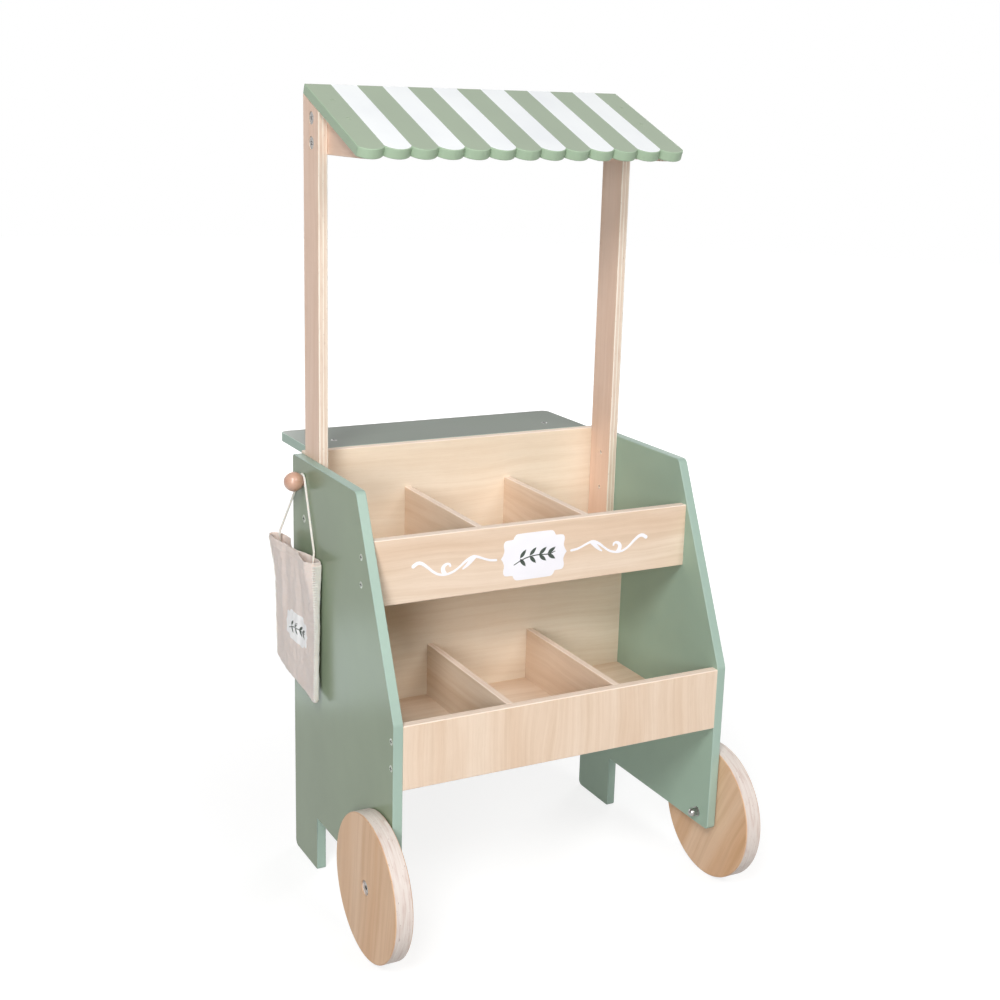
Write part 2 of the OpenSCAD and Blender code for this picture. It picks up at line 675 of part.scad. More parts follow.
// Cord: a tube swept along its route
function cord_heading(i) = unit(cord_route[min(i + 1, len(cord_route) - 1)] - cord_route[max(i - 1, 0)]);
function cord_ring(i) =
    let (t = cord_heading(i), side = unit(cross(t, [1, 0, 0])), top = cross(side, t))
    [for (k = [0 : cord_sides - 1])
        let (a = 360 * k / cord_sides)
        cord_route[i] + cord_d / 2 * (side * cos(a) + top * sin(a))];
module bag_cord() color(cotton) {
    last = len(cord_route) - 1;
    polyhedron(points = [for (i = [0 : last]) each cord_ring(i)],
        faces = concat(ring_faces(last + 1, cord_sides), fan(0, cord_sides, false),
            fan(last * cord_sides, cord_sides, true)));
}

left_side_panel();
right_side_panel();
upper_front_board();
lower_front_board();
upper_back_board();
lower_back_board();
upper_shelf();
lower_shelf();
upper_left_divider();
upper_right_divider();
lower_left_divider();
lower_right_divider();
counter_top();
left_counter_bracket();
right_counter_bracket();
left_post();
right_post();
left_roof_gusset();
right_roof_gusset();
roof_board();
left_wheel();
right_wheel();
left_axle_bolt();
right_axle_bolt();
axle_washers();
axle_cap_nuts();
post_bolts();
gusset_bolts();
gusset_sleeve_nuts();
front_board_screws();
roof_screws();
counter_screws();
shelf_dowels();
back_board_dowels();
bracket_dowels();
peg_knob();
peg_stud();
bag();
bag_cord();
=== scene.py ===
"""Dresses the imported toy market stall: painted boards, plywood grain, a cloth bag on its cord and a stage."""
import json
import math

import bmesh
import bpy
from bpy.props import FloatProperty, FloatVectorProperty, IntProperty, PointerProperty
from mathutils import Matrix, Vector, noise


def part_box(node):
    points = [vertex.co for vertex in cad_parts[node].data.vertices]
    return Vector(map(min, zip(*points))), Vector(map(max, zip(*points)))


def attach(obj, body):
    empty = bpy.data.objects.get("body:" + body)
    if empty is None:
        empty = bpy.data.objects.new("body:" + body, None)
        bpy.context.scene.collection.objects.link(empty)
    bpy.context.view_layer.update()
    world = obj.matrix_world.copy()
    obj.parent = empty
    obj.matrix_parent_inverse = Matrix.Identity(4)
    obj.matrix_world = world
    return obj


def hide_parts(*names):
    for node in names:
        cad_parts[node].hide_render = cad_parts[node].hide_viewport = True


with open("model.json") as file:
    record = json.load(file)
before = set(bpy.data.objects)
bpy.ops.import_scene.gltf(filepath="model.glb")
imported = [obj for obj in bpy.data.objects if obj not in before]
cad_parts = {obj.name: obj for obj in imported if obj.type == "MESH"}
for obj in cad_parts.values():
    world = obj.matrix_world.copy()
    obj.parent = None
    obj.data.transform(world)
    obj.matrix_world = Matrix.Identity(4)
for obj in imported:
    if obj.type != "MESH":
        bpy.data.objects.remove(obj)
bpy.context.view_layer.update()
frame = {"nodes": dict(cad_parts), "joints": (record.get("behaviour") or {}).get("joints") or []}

bl_info = {
    "name": "Toy market stall",
    "version": (1, 0, 0),
    "blender": (4, 5, 0),
    "location": "3D View > Sidebar > Stall",
    "description": "Builds the visible pieces of a toy market stall round its packed frame",
    "category": "Object",
}

X, Y, Z = Vector((1, 0, 0)), Vector((0, 1, 0)), Vector((0, 0, 1))
MM = 0.001
WHITE = (1, 1, 1)
# Thickness of the plywood boards
BOARD = 12 * MM
# Angle above which an edge of a board counts as a corner
CORNER_ANGLE = math.radians(40)
# Loops of corner edges smaller than this are the rims of drilled holes
HOLE_REACH = 0.025
# Angle below which neighbouring faces are shaded as one: on boards, on cords and threads, and on cloth
SMOOTH_ANGLE, THREAD_ANGLE, CLOTH_ANGLE = math.radians(32), math.radians(60), math.radians(75)
# A face whose normal has this share along the thickness of its board is a broad face, also on the sloped roof
BROAD_SHARE, ROOF_SHARE = 0.97, 0.9
# Points of a CAD shape this near are welded, and faces that meet at less than this angle are joined up
WELD_REACH, FLAT_ANGLE = 0.002 * MM, math.radians(0.4)
# Steps in the rounding of a board's edges
EASE_STEPS = 3
# How far one seed shifts the grain along and across its board, and the first seed of each group of boards
SEED_SHIFT = (0.71, 0.37)
SEEDS = {"panels": 0, "counter": 2, "brackets": 3, "trays": 5, "posts": 17, "arms": 19, "wheels": 23}


def colour(name, description, red, green, blue):
    """A colour setting, given as the 0 to 255 values that a display shows."""
    def linear(value):
        value /= 255
        return value / 12.92 if value <= 0.04045 else ((value + 0.055) / 1.055) ** 2.4

    return FloatVectorProperty(
        name=name, description=description, subtype="COLOR", size=3, min=0, max=1,
        default=(linear(red), linear(green), linear(blue)))


def length(name, description, millimetres):
    """A length setting, given in millimetres."""
    return FloatProperty(name=name, description=description, unit="LENGTH", min=0, default=millimetres * MM)


def rotation(name, description, degrees):
    """An angle setting, given in degrees."""
    return FloatProperty(name=name, description=description, unit="ROTATION", default=math.radians(degrees))


def number(name, description, default):
    """A setting of a number that isn't negative."""
    return FloatProperty(name=name, description=description, min=0, default=default)


class StallColours(bpy.types.PropertyGroup):
    """Paints, woods and cloth."""
    sage: colour("Sage paint", "Broad faces of the left side panel", 140, 155, 130)
    # The right panel has the same sage paint as the left; this lighter, bluer copy paints in the light and
    # sheen that fall on its inner face
    sage_right_lit: colour("Right sage paint", "Broad faces of the right side panel", 158, 182, 164)
    mint: colour("Edge paint", "Edges of the side panels and the counter", 161, 183, 170)
    roof_green: colour("Roof green", "Green stripes of the roof", 160, 174, 152)
    roof_edge: colour("Roof edge", "Edges of the roof", 159, 180, 154)
    counter: colour("Counter paint", "Counter behind the stall", 121, 130, 119)
    white: colour("White paint", "White stripes of the roof", 247, 250, 253)
    birch: colour("Birch", "Front boards and dividers", 235, 215, 195)
    birch_dark: colour("Birch grain", "Darker grain of the birch", 222, 194, 168)
    pale: colour("Pale birch", "Back boards", 240, 227, 208)
    pale_dark: colour("Pale birch grain", "Darker grain of the back boards", 230, 208, 182)
    post: colour("Post veneer", "Broad faces of posts and roof arms", 240, 211, 192)
    post_dark: colour("Post grain", "Darker grain of the posts", 229, 193, 168)
    ply_light: colour("Light ply", "Pale layers on plywood edges", 240, 230, 216)
    ply_dark: colour("Dark ply", "Darker layers on plywood edges", 214, 185, 162)
    edge_light: colour("Light tray edge", "Pale layers on the edges of tray boards", 251, 235, 220)
    edge_dark: colour("Dark tray edge", "Darker layers on the edges of tray boards", 235, 206, 182)
    wheel: colour("Wheel veneer", "Faces of the wheels", 232, 200, 170)
    wheel_dark: colour("Wheel grain", "Darker grain of the wheels", 214, 168, 124)
    rim: colour("Wheel rim", "Sanded rim of the wheels", 225, 215, 208)
    rim_dark: colour("Rim layers", "Darker layers of the rim", 209, 192, 184)
    rim_skin: colour("Rim skin", "Face veneers where they meet the rim", 244, 212, 180)
    beech: colour("Beech", "Ball peg and dowels", 200, 158, 136)
    beech_dark: colour("Beech grain", "Darker flecks of the beech", 184, 126, 104)
    steel: colour("Steel", "Zinc plated screws and bolts", 176, 174, 172)
    screw_steel: colour("Screw steel", "Screws in the side panels", 190, 196, 184)
    # Dark steel for the screws' cross recesses: painted shade, standing in for the shadow inside each recess
    recess_shade: colour("Recess steel", "Cross recesses of the screws", 62, 66, 60)
    cotton: colour("Cotton", "Cloth of the bag", 239, 223, 215)
    cotton_dark: colour("Cotton slubs", "Darker threads of the cloth", 219, 202, 195)
    cord: colour("Cord", "Cord of the bag", 247, 243, 235)
    front_white: colour("Front print", "Plaque and flourishes", 245, 243, 248)
    print_white: colour("Label print", "White print on the bag", 254, 254, 255)
    ink: colour("Ink", "Sprig on the plaque and the label", 72, 82, 74)
    floor: colour("Floor", "Floor under the stall", 180, 180, 180)
    floor_shade: colour("Floor shade", "Share of light and shadow that is seen on the floor", 146, 146, 146)


class StallSizes(bpy.types.PropertyGroup):
    """Sizes of what is added to the frame."""
    paint_ease: length("Paint ease", "Radius on the edges of painted boards", 1.1)
    ply_ease: length("Plywood ease", "Radius on the edges of plywood arms and brackets", 0.7)
    stripes: IntProperty(name="Stripes", description="Stripes across the roof", min=1, default=13)
    ply_layers: IntProperty(name="Plies", description="Layers in a plywood edge", min=3, default=5)
    rim_layers: IntProperty(name="Rim plies", description="Layers in a wheel", min=3, default=9)
    film: length("Paint film", "Height of painted ornaments above their board", 0.2)
    plaque_width: length("Plaque width", "Width of the white plaque", 90)
    plaque_height: length("Plaque height", "Height of the white plaque", 58)
    plaque_shift: length("Plaque shift", "Distance of the plaque to the left of the middle", 4)
    cord_width: length("Cord width", "Diameter of the bag's cord", 3)
    cord_pitch: length("Cord pitch", "Length of one turn of the cord's strands", 8)
    bag_width: length("Bag width", "Width of the bag", 128)
    bag_height: length("Bag height", "Height of the bag", 175)
    bag_depth: length("Bag depth", "Thickness of the hanging bag", 6)
    cloth: length("Cloth", "Thickness of the cloth", 0.7)
    hem: length("Hem", "Height of the bag's hem", 13)
    label_width: length("Label width", "Width of the print on the bag", 60)
    seam_thread: length("Seam thread", "Thickness of the soft thread round the bag's side seams", 1.7)
    seam_pitch: length("Seam pitch", "Distance of two turns of that thread", 2.9)


class StallStage(bpy.types.PropertyGroup):
    """Camera and light."""
    eye: FloatVectorProperty(
        name="Eye", description="Place of the camera", subtype="TRANSLATION", unit="LENGTH", size=3,
        default=(-0.8514, -1.5870, 0.9608))
    yaw: rotation("Yaw", "Turn to the left", -28.17)
    pitch: rotation("Pitch", "Tilt up", -14.83)
    roll: rotation("Roll", "Lean to the left", 1.6)
    lens: number("Lens", "Focal length in millimetres", 53.87)
    sensor: number("Sensor", "Sensor width in millimetres", 36)
    sky: number("Sky", "Strength of the light from all round", 0.1)
    key: number("Key", "Power of the high lamp beside the camera", 94)
    low: number("Low", "Power of the low lamp beside the camera", 66)
    fill: number("Fill", "Power of the lamp on the right", 56)
    back: number("Back", "Power of the lamp behind the stall on the right", 45)
    rear: number("Rear", "Power of the lamp straight behind the stall", 22)
    side: number("Side", "Power of the small lamp on the floor at the left", 0.5)


# Materials

def link(tree, target, value):
    """Sets an input to a number or colour, or links it to an output."""
    if isinstance(value, bpy.types.NodeSocket):
        tree.links.new(value, target)
    else:
        target.default_value = value


def add(tree, kind, inputs=(), **settings):
    """A new node with its settings and inputs."""
    made = tree.nodes.new(kind)
    for key, value in settings.items():
        setattr(made, key, value)
    for key, value in dict(inputs).items():
        link(tree, made.inputs[key], value)
    return made


def start(name, roughness, **sockets):
    """A new material, its tree and its shader, with the constants of the shader set."""
    material = bpy.data.materials.new(name)
    material.use_nodes = True
    shader = material.node_tree.nodes["Principled BSDF"]
    shader.inputs["Roughness"].default_value = roughness
    for key, value in sockets.items():
        shader.inputs[key.replace("_", " ")].default_value = value
    return material, material.node_tree, shader


def rgba(value):
    return (*value, 1.0)


def noise_of(tree, vector, scale=1.0, detail=3.0, roughness=0.5):
    inputs = {"Vector": vector, "Scale": scale, "Detail": detail, "Roughness": roughness}
    return add(tree, "ShaderNodeTexNoise", inputs).outputs["Fac"]


def streaks(tree, vector, stretch, detail=3.0, roughness=0.5):
    """Noise whose fineness, per metre, is given for each axis."""
    drawn = add(tree, "ShaderNodeVectorMath", {0: vector, 1: stretch}, operation="MULTIPLY")
    return noise_of(tree, drawn.outputs[0], 1.0, detail, roughness)


def ramp(tree, value, stops):
    """A colour ramp of (place, colour) stops."""
    made = add(tree, "ShaderNodeValToRGB", {"Fac": value})
    elements = made.color_ramp.elements
    while len(elements) < len(stops):
        elements.new(0.5)
    for element, (place, tone) in zip(elements, stops):
        element.position = place
        element.color = rgba(tone)
    return made.outputs["Color"]


def spread(tree, value, low, high):
    """A noise value, mostly between 0.25 and 0.75, moved to the span from low to high."""
    inputs = {"Value": value, "From Min": 0.25, "From Max": 0.75, "To Min": low, "To Max": high}
    return add(tree, "ShaderNodeMapRange", inputs).outputs["Result"]


def mixed(tree, amount, first, second, blend="MIX"):
    made = add(tree, "ShaderNodeMix", data_type="RGBA", blend_type=blend)
    link(tree, made.inputs[0], amount)
    link(tree, made.inputs[6], first)
    link(tree, made.inputs[7], second)
    return made.outputs[2]


def shaded(tree, base, amount, value, low, high, tone):
    """Multiplies a colour by a tone where a value is low, and leaves it where the value is high."""
    return mixed(tree, amount, base, ramp(tree, value, [(low, tone), (high, WHITE)]), "MULTIPLY")


def calculated(tree, operation, first, second=0.0):
    return add(tree, "ShaderNodeMath", {0: first, 1: second}, operation=operation).outputs[0]


def bumped(tree, shader, height, strength, depth):
    """Raises the surface by a 0 to 1 height."""
    made = add(tree, "ShaderNodeBump", {"Strength": strength, "Distance": depth, "Height": height})
    link(tree, shader.inputs["Normal"], made.outputs["Normal"])


def place_of(tree, name):
    """The vector that a piece keeps on its points under a name."""
    return add(tree, "ShaderNodeAttribute", attribute_name=name).outputs["Vector"]


def paint(name, tone, roughness=0.42, gloss=0.3):
    """Satin paint on board: faint roller texture, and slightly uneven tone and gloss."""
    material, tree, shader = start(name, roughness, Specular_IOR_Level=gloss)
    where = add(tree, "ShaderNodeTexCoord").outputs["Object"]
    cloudy = noise_of(tree, where, 7.0)
    peel = noise_of(tree, where, 620.0, 2.0)
    darker = [channel * 0.93 for channel in tone]
    lighter = [min(1.0, channel * 1.05) for channel in tone]
    link(tree, shader.inputs["Base Color"], ramp(tree, cloudy, [(0.3, darker), (0.7, lighter)]))
    link(tree, shader.inputs["Roughness"], spread(tree, cloudy, roughness * 0.88, roughness * 1.14))
    bumped(tree, shader, peel, 0.25, 0.12 * MM * roughness)
    return material


def veneer(name, light, dark, contrast=0.5, roughness=0.46):
    """Clear lacquered veneer whose grain runs along the first axis of the piece's grain."""
    material, tree, shader = start(name, roughness, Specular_IOR_Level=0.35)
    grain = place_of(tree, "grain")
    sway = streaks(tree, grain, (4, 7, 7), 2.0)
    shift = add(tree, "ShaderNodeCombineXYZ", {"Y": spread(tree, sway, -9 * MM, 9 * MM)})
    moved = add(tree, "ShaderNodeVectorMath", {0: grain, 1: shift.outputs[0]}, operation="ADD").outputs[0]
    bands = streaks(tree, moved, (1.6, 21, 21))
    lines = streaks(tree, moved, (3.5, 130, 130), 4.0, 0.6)
    cloudy = streaks(tree, grain, (16, 34, 34), 2.0)
    fibres = streaks(tree, grain, (75, 1500, 1500), 2.0)
    base = mixed(tree, contrast, rgba(light), ramp(tree, bands, [(0.32, dark), (0.66, light)]))
    base = shaded(tree, base, 0.85 * contrast, lines, 0.34, 0.58, (0.87, 0.82, 0.76))
    base = shaded(tree, base, 0.8, cloudy, 0.3, 0.68, (0.965, 0.95, 0.935))
    base = shaded(tree, base, 0.5, fibres, 0.3, 0.5, (0.93, 0.91, 0.88))
    link(tree, shader.inputs["Base Color"], base)
    link(tree, shader.inputs["Roughness"], spread(tree, lines, roughness + 0.06, roughness - 0.05))
    bumped(tree, shader, fibres, 0.2, 0.1 * MM)
    return material


def laminated(name, light, dark, thickness, layers, contrast=1.0, specks=0.5, skin=WHITE):
    """The edge of plywood: layers across the third axis of the piece's grain, with glue lines between."""
    material, tree, shader = start(name, 0.55, Specular_IOR_Level=0.3)
    grain = place_of(tree, "grain")
    through = add(tree, "ShaderNodeSeparateXYZ", {0: grain}).outputs["Z"]
    wobble = streaks(tree, grain, (9, 9, 60), 2.0)
    depth = calculated(tree, "ADD", calculated(tree, "MULTIPLY", through, layers / thickness),
                       spread(tree, wobble, -0.12, 0.12))
    pair = calculated(tree, "FRACT", calculated(tree, "MULTIPLY", depth, 0.5))
    mid = [(a + b) / 2 for a, b in zip(light, dark)]
    stops = [(0.02, dark), (0.1, light), (0.42, light), (0.5, dark), (0.58, mid), (0.94, mid)]
    fibres = streaks(tree, grain, (30, 30, 1100))
    patches = streaks(tree, grain, (38, 38, 260))
    flecks = streaks(tree, grain, (230, 230, 600), 2.0)
    base = mixed(tree, contrast, rgba(light), ramp(tree, pair, stops))
    base = shaded(tree, base, 0.75, fibres, 0.33, 0.6, (0.92, 0.88, 0.85))
    base = shaded(tree, base, specks, patches, 0.34, 0.5, (0.88, 0.81, 0.79))
    base = shaded(tree, base, specks, flecks, 0.27, 0.33, (0.66, 0.6, 0.58))
    share = calculated(tree, "DIVIDE", through, thickness)
    faces = ramp(tree, share, [(0.04, skin), (0.07, WHITE), (0.93, WHITE), (0.96, skin)])
    link(tree, shader.inputs["Base Color"], mixed(tree, 1.0, base, faces, "MULTIPLY"))
    bumped(tree, shader, fibres, 0.25, 0.12 * MM)
    return material


def solid_beech(name, light, dark):
    """Turned and lacquered beech with its short dark flecks."""
    material, tree, shader = start(name, 0.3, Specular_IOR_Level=0.5, Coat_Weight=0.6, Coat_Roughness=0.2)
    where = add(tree, "ShaderNodeTexCoord").outputs["Object"]
    rings = streaks(tree, where, (14, 90, 150))
    flecks = streaks(tree, where, (190, 900, 900), 2.0)
    base = mixed(tree, 0.4, rgba(light), ramp(tree, rings, [(0.32, dark), (0.6, light)]))
    base = shaded(tree, base, 0.7, flecks, 0.3, 0.42, (0.86, 0.8, 0.74))
    link(tree, shader.inputs["Base Color"], base)
    link(tree, shader.inputs["Roughness"], spread(tree, rings, 0.3, 0.4))
    bumped(tree, shader, flecks, 0.1, 0.08 * MM)
    return material


def plated_steel(name, tone):
    """Bright zinc plate with fine turning marks."""
    material, tree, shader = start(name, 0.3, Metallic=1.0)
    marks = streaks(tree, add(tree, "ShaderNodeTexCoord").outputs["Object"], (260, 900, 900))
    darker = [channel * 0.72 for channel in tone]
    link(tree, shader.inputs["Base Color"], ramp(tree, marks, [(0.3, darker), (0.65, tone)]))
    link(tree, shader.inputs["Roughness"], spread(tree, marks, 0.22, 0.42))
    bumped(tree, shader, marks, 0.15, 0.05 * MM)
    return material


def woven(name, light, dark, pitch=0.9 * MM, soft=0.4):
    """Plain woven cotton: crossing threads, slubs and a soft sheen, laid along the piece's weave."""
    material, tree, shader = start(
        name, 0.88, Specular_IOR_Level=0.15, Sheen_Weight=0.2, Sheen_Roughness=0.5, Subsurface_Weight=soft,
        Subsurface_Radius=(1.0, 0.85, 0.75), Subsurface_Scale=2 * MM)
    weave = place_of(tree, "weave")
    parts = add(tree, "ShaderNodeSeparateXYZ", {0: weave}).outputs
    turns = [calculated(tree, "MULTIPLY", parts[axis], 2 * math.pi / pitch) for axis in "XY"]
    crossed = calculated(tree, "MULTIPLY", *[calculated(tree, "SINE", turn) for turn in turns])
    threads = spread(tree, calculated(tree, "MULTIPLY_ADD", crossed, 0.25), 0.0, 1.0)
    warp = streaks(tree, weave, (1300, 90, 45))
    weft = streaks(tree, weave, (90, 1300, 45))
    slub = calculated(tree, "MINIMUM", warp, weft)
    cloudy = noise_of(tree, weave, 26.0, 5.0, 0.62)
    base = mixed(tree, 0.3, rgba(light), ramp(tree, slub, [(0.32, dark), (0.5, light)]))
    link(tree, shader.inputs["Base Color"], shaded(tree, base, 0.8, cloudy, 0.3, 0.65, (0.94, 0.92, 0.9)))
    bumped(tree, shader, calculated(tree, "ADD", threads, slub), 0.35, 0.25 * MM)
    return material


def finish(name, make, *arguments, **settings):
    """The material of that name, made on its first use."""
    return bpy.data.materials.get(name) or make(name, *arguments, **settings)


def birch_face(colours):
    return finish("birch veneer", veneer, colours.birch, colours.birch_dark, contrast=0.75)


def birch_edge(colours, sizes):
    return finish("birch plies", laminated, colours.ply_light, colours.ply_dark, BOARD, sizes.ply_layers)


# Shapes

def mesh_of(bm, name):
    mesh = bpy.data.meshes.new(name)
    bm.normal_update()
    bm.to_mesh(mesh)
    bm.free()
    return mesh


def join(shapes):
    """One bmesh from several."""
    whole = bmesh.new()
    for bm in shapes:
        mesh = mesh_of(bm, "part")
        whole.from_mesh(mesh)
        bpy.data.meshes.remove(mesh)
    return whole


def node_shape(node):
    """A welded copy of a CAD node's shape, with its flat faces joined up."""
    bm = bmesh.new()
    bm.from_mesh(frame["nodes"][node].data)
    bmesh.ops.remove_doubles(bm, verts=bm.verts, dist=WELD_REACH)
    bmesh.ops.dissolve_limit(
        bm, angle_limit=FLAT_ANGLE, verts=bm.verts, edges=bm.edges, use_dissolve_boundaries=False)
    return bm


def corner_edges(bm):
    """The outer corner edges of a board, without the rims of its holes."""
    sharp = {e for e in bm.edges if len(e.link_faces) == 2 and e.calc_face_angle(0) > CORNER_ANGLE}
    chosen = []
    while sharp:
        group, todo = set(), [next(iter(sharp))]
        while todo:
            edge = todo.pop()
            if edge in sharp:
                sharp.discard(edge)
                group.add(edge)
                todo += [near for vert in edge.verts for near in vert.link_edges if near in sharp]
        points = [vert.co for edge in group for vert in edge.verts]
        reach = Vector([max(p[i] for p in points) - min(p[i] for p in points) for i in range(3)])
        if reach.length > HOLE_REACH:
            chosen += [edge for edge in group if edge.is_convex]
    return chosen


def ease(bm, radius):
    """Rounds the outer corners of a board."""
    bmesh.ops.bevel(bm, geom=corner_edges(bm), offset=radius, offset_type="OFFSET", segments=EASE_STEPS,
                    profile=0.5, affect="EDGES", clamp_overlap=True)


def smooth_run(points, steps):
    """A smooth curve through points of any number of values, with a number of steps between neighbours."""
    rows = [Vector(p) for p in points]
    rows = [2 * rows[0] - rows[1], *rows, 2 * rows[-1] - rows[-2]]
    made = []
    for a, b, c, d in zip(rows, rows[1:], rows[2:], rows[3:]):
        for step in range(steps):
            t = step / steps
            made.append(0.5 * (2 * b + (c - a) * t + (2 * a - 5 * b + 4 * c - d) * t * t
                               + (3 * b - a - 3 * c + d) * t ** 3))
    return made + [rows[-2]]


def step_between(low, high, value):
    """0 below low, 1 above high and smooth between."""
    t = min(1.0, max(0.0, (value - low) / (high - low)))
    return t * t * (3 - 2 * t)


def level(run, place):
    """The height of a run of (place, height) points at a place."""
    for low, high in zip(run, run[1:]):
        if place <= high[0]:
            return low[1] + (high[1] - low[1]) * (place - low[0]) / (high[0] - low[0])
    return run[-1][1]


def bridge(bm, rings):
    """The faces between closed rings that have as many points each."""
    made = []
    for low, high in zip(rings, rings[1:]):
        for k in range(len(low)):
            after = (k + 1) % len(low)
            made.append(bm.faces.new((low[k], low[after], high[after], high[k])))
    return made


def tube(path, sides, radius_at):
    """A tube through points, its radius given by turn and run, and the (turn, run) of each of its points."""
    bm = bmesh.new()
    rings, places, run = [], [], 0.0
    for i, here in enumerate(path):
        before, after = path[max(i - 1, 0)], path[min(i + 1, len(path) - 1)]
        run += (here - before).length
        way = (after - before).normalized()
        side = way.cross(X).normalized()
        top = side.cross(way)
        ring = []
        for k in range(sides):
            turn = 2 * math.pi * k / sides
            out = side * math.cos(turn) + top * math.sin(turn)
            ring.append(bm.verts.new(here + radius_at(turn, run) * out))
            places.append((turn, run))
        rings.append(ring)
    bridge(bm, rings)
    bm.faces.new(rings[0][::-1])
    bm.faces.new(rings[-1])
    bmesh.ops.recalc_face_normals(bm, faces=bm.faces)
    return bm, places


def thread(path, width, sides):
    """A round thread through points."""
    return tube(path, sides, lambda turn, run: width / 2)[0]


def cut(bm, axis, place, reach):
    """Cuts a shape across an axis; points within the reach count as on the cut."""
    everything = bm.verts[:] + bm.edges[:] + bm.faces[:]
    bmesh.ops.bisect_plane(bm, geom=everything, plane_co=axis * place, plane_no=axis, dist=reach)


def filled(outline, pieces=None):
    """A flat filled shape from a 2-D outline, cut into pieces no longer than given for bending."""
    bm = bmesh.new()
    verts = [bm.verts.new((p[0], p[1], 0)) for p in outline]
    edges = [bm.edges.new((a, b)) for a, b in zip(verts, verts[1:] + verts[:1])]
    bmesh.ops.triangle_fill(bm, use_beauty=True, use_dissolve=False, edges=edges)
    bmesh.ops.recalc_face_normals(bm, faces=bm.faces)
    if sum(face.normal.z for face in bm.faces) < 0:
        bmesh.ops.reverse_faces(bm, faces=bm.faces)
    if pieces:
        for axis in (X, Y):
            reach = [vert.co.dot(axis) for vert in bm.verts]
            place = min(reach) + pieces
            while place < max(reach):
                cut(bm, axis, place, 1e-7)
                place += pieces
    return bm


def raised(bm, height):
    """Gives a flat shape that faces up in Z a thickness."""
    faces = bm.faces[:]
    top = bmesh.ops.extrude_face_region(bm, geom=faces)["geom"]
    bmesh.ops.translate(bm, verts=[v for v in top if isinstance(v, bmesh.types.BMVert)], vec=(0, 0, height))
    bmesh.ops.reverse_faces(bm, faces=faces)


def ribbon(points, steps=8, round_steps=5):
    """The outline of a stroke through (x, y, half width) points, with round ends."""
    run = smooth_run(points, steps)
    left, right = [], []
    for i, here in enumerate(run):
        way = (run[min(i + 1, len(run) - 1)] - run[max(i - 1, 0)]).xy.normalized()
        side = Vector((-way.y, way.x)) * here.z
        left.append(here.xy + side)
        right.append(here.xy - side)

    def cap(end, inner, edge):
        ahead = (end - inner).xy.normalized() * end.z
        turns = [math.pi * i / round_steps for i in range(1, round_steps)]
        return [end.xy + ahead * math.sin(turn) + (edge - end.xy) * math.cos(turn) for turn in turns]

    return left + cap(run[-1], run[-2], left[-1]) + right[::-1] + cap(run[0], run[1], right[0])


# Ornaments

# Shares of half the plaque's width and height, from the top middle to the right middle
PLAQUE_SHARES = [
    (0.0, 1.0), (0.3, 1.0), (0.5, 0.995), (0.56, 0.97), (0.61, 0.88), (0.64, 0.78), (0.7, 0.765),
    (0.8, 0.765), (0.88, 0.74), (0.92, 0.65), (0.925, 0.52), (0.905, 0.38), (0.905, 0.28), (0.94, 0.13),
    (1.0, 0.0)]
# How far the plaque lies under the board's middle in millimetres, and its sprig's share of its height
PLAQUE_DROP, PLAQUE_SPRIG = 1, 1.12


def plaque_outline(width, height):
    quarter = [(x * width / 2, y * height / 2) for x, y in PLAQUE_SHARES]
    half = quarter + [(x, -y) for x, y in quarter[-2:0:-1]] + [(0.0, -height / 2)]
    return half[:-1] + [(-x, -y) for x, y in half[:-1]]


# The sprig's stem as (x, y, half width) and one of its leaves as (x, half width), in shares of its size
SPRIG_STEM = [
    (-0.42, -0.14, 0.008), (-0.2, -0.04, 0.011), (0.05, 0, 0.011), (0.3, -0.01, 0.01), (0.44, 0.03, 0.007)]
SPRIG_LEAF = [(0.01, 0.004), (0.07, 0.034), (0.14, 0.03), (0.2, 0.004)]
# Where its pairs of leaves start, and how many degrees they lean off the stem
SPRIG_PAIRS = [(-0.3, -0.03, 52), (-0.1, 0, 47), (0.1, 0, 40), (0.28, 0, 34)]


def sprig(size):
    """A small sprig with paired leaves."""
    strokes = [SPRIG_STEM]
    for x, y, lean in SPRIG_PAIRS:
        for side in (1, -1):
            turn = Matrix.Rotation(math.radians(side * lean), 2)
            leaf = [(turn @ Vector((along, 0)) + Vector((x, y)), half) for along, half in SPRIG_LEAF]
            strokes.append([(*spot, half) for spot, half in leaf])
    return join([filled(ribbon([Vector(p) * size for p in stroke])) for stroke in strokes])


# One flourish from its outer end to the plaque, as (x, z, half width) in millimetres from the plaque's middle
FLOURISH_STROKE = [
    (159, 5, 2.3), (154, 8, 2.2), (148.5, 7.5, 2.0), (141.5, 2.5, 1.7), (134, -4, 1.5), (126, -8.5, 1.4),
    (116.5, -9.5, 1.4), (107, -7, 1.4), (99, -2, 1.3), (91, 4, 1.7), (82.5, 8, 1.7), (76, 7, 1.5),
    (67, 3.5, 1.3), (59.5, 1, 1.4), (51.5, 0, 1.5)]
FLOURISH_CURL = [
    (117.5, -9, 2.0), (120.2, -6, 2.7), (121, -2, 2.6), (119.3, 1.2, 2.1), (115.8, 3, 1.6), (112.5, 2.2, 1.4),
    (111.6, 0, 1.2)]
FLOURISH_LEAF = [(78, 7.6, 1.3), (82.5, 5, 2.4), (87, 1, 2.4), (91, -2.6, 1.7), (95, -5.4, 0.9)]
# Name, stroke and share of the paint film's height of each part, so that no two tops lie in one plane
FLOURISH_PARTS = (("", FLOURISH_STROKE, 1.0), ("_curl", FLOURISH_CURL, 0.85), ("_leaf", FLOURISH_LEAF, 0.7))


# Pieces

def piece(name, mesh, body, materials, replaced=()):
    """Links a mesh as a piece that rides on a body, takes a finish and stands for CAD nodes."""
    made = bpy.data.objects.new(name, mesh)
    bpy.context.scene.collection.objects.link(made)
    for material in materials:
        mesh.materials.append(material)
    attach(made, body)
    if replaced:
        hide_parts(*replaced)
    return made


def coat(node, material):
    """Gives a CAD node that shows as it is its finish."""
    materials = frame["nodes"][node].data.materials
    materials.clear()
    materials.append(material)


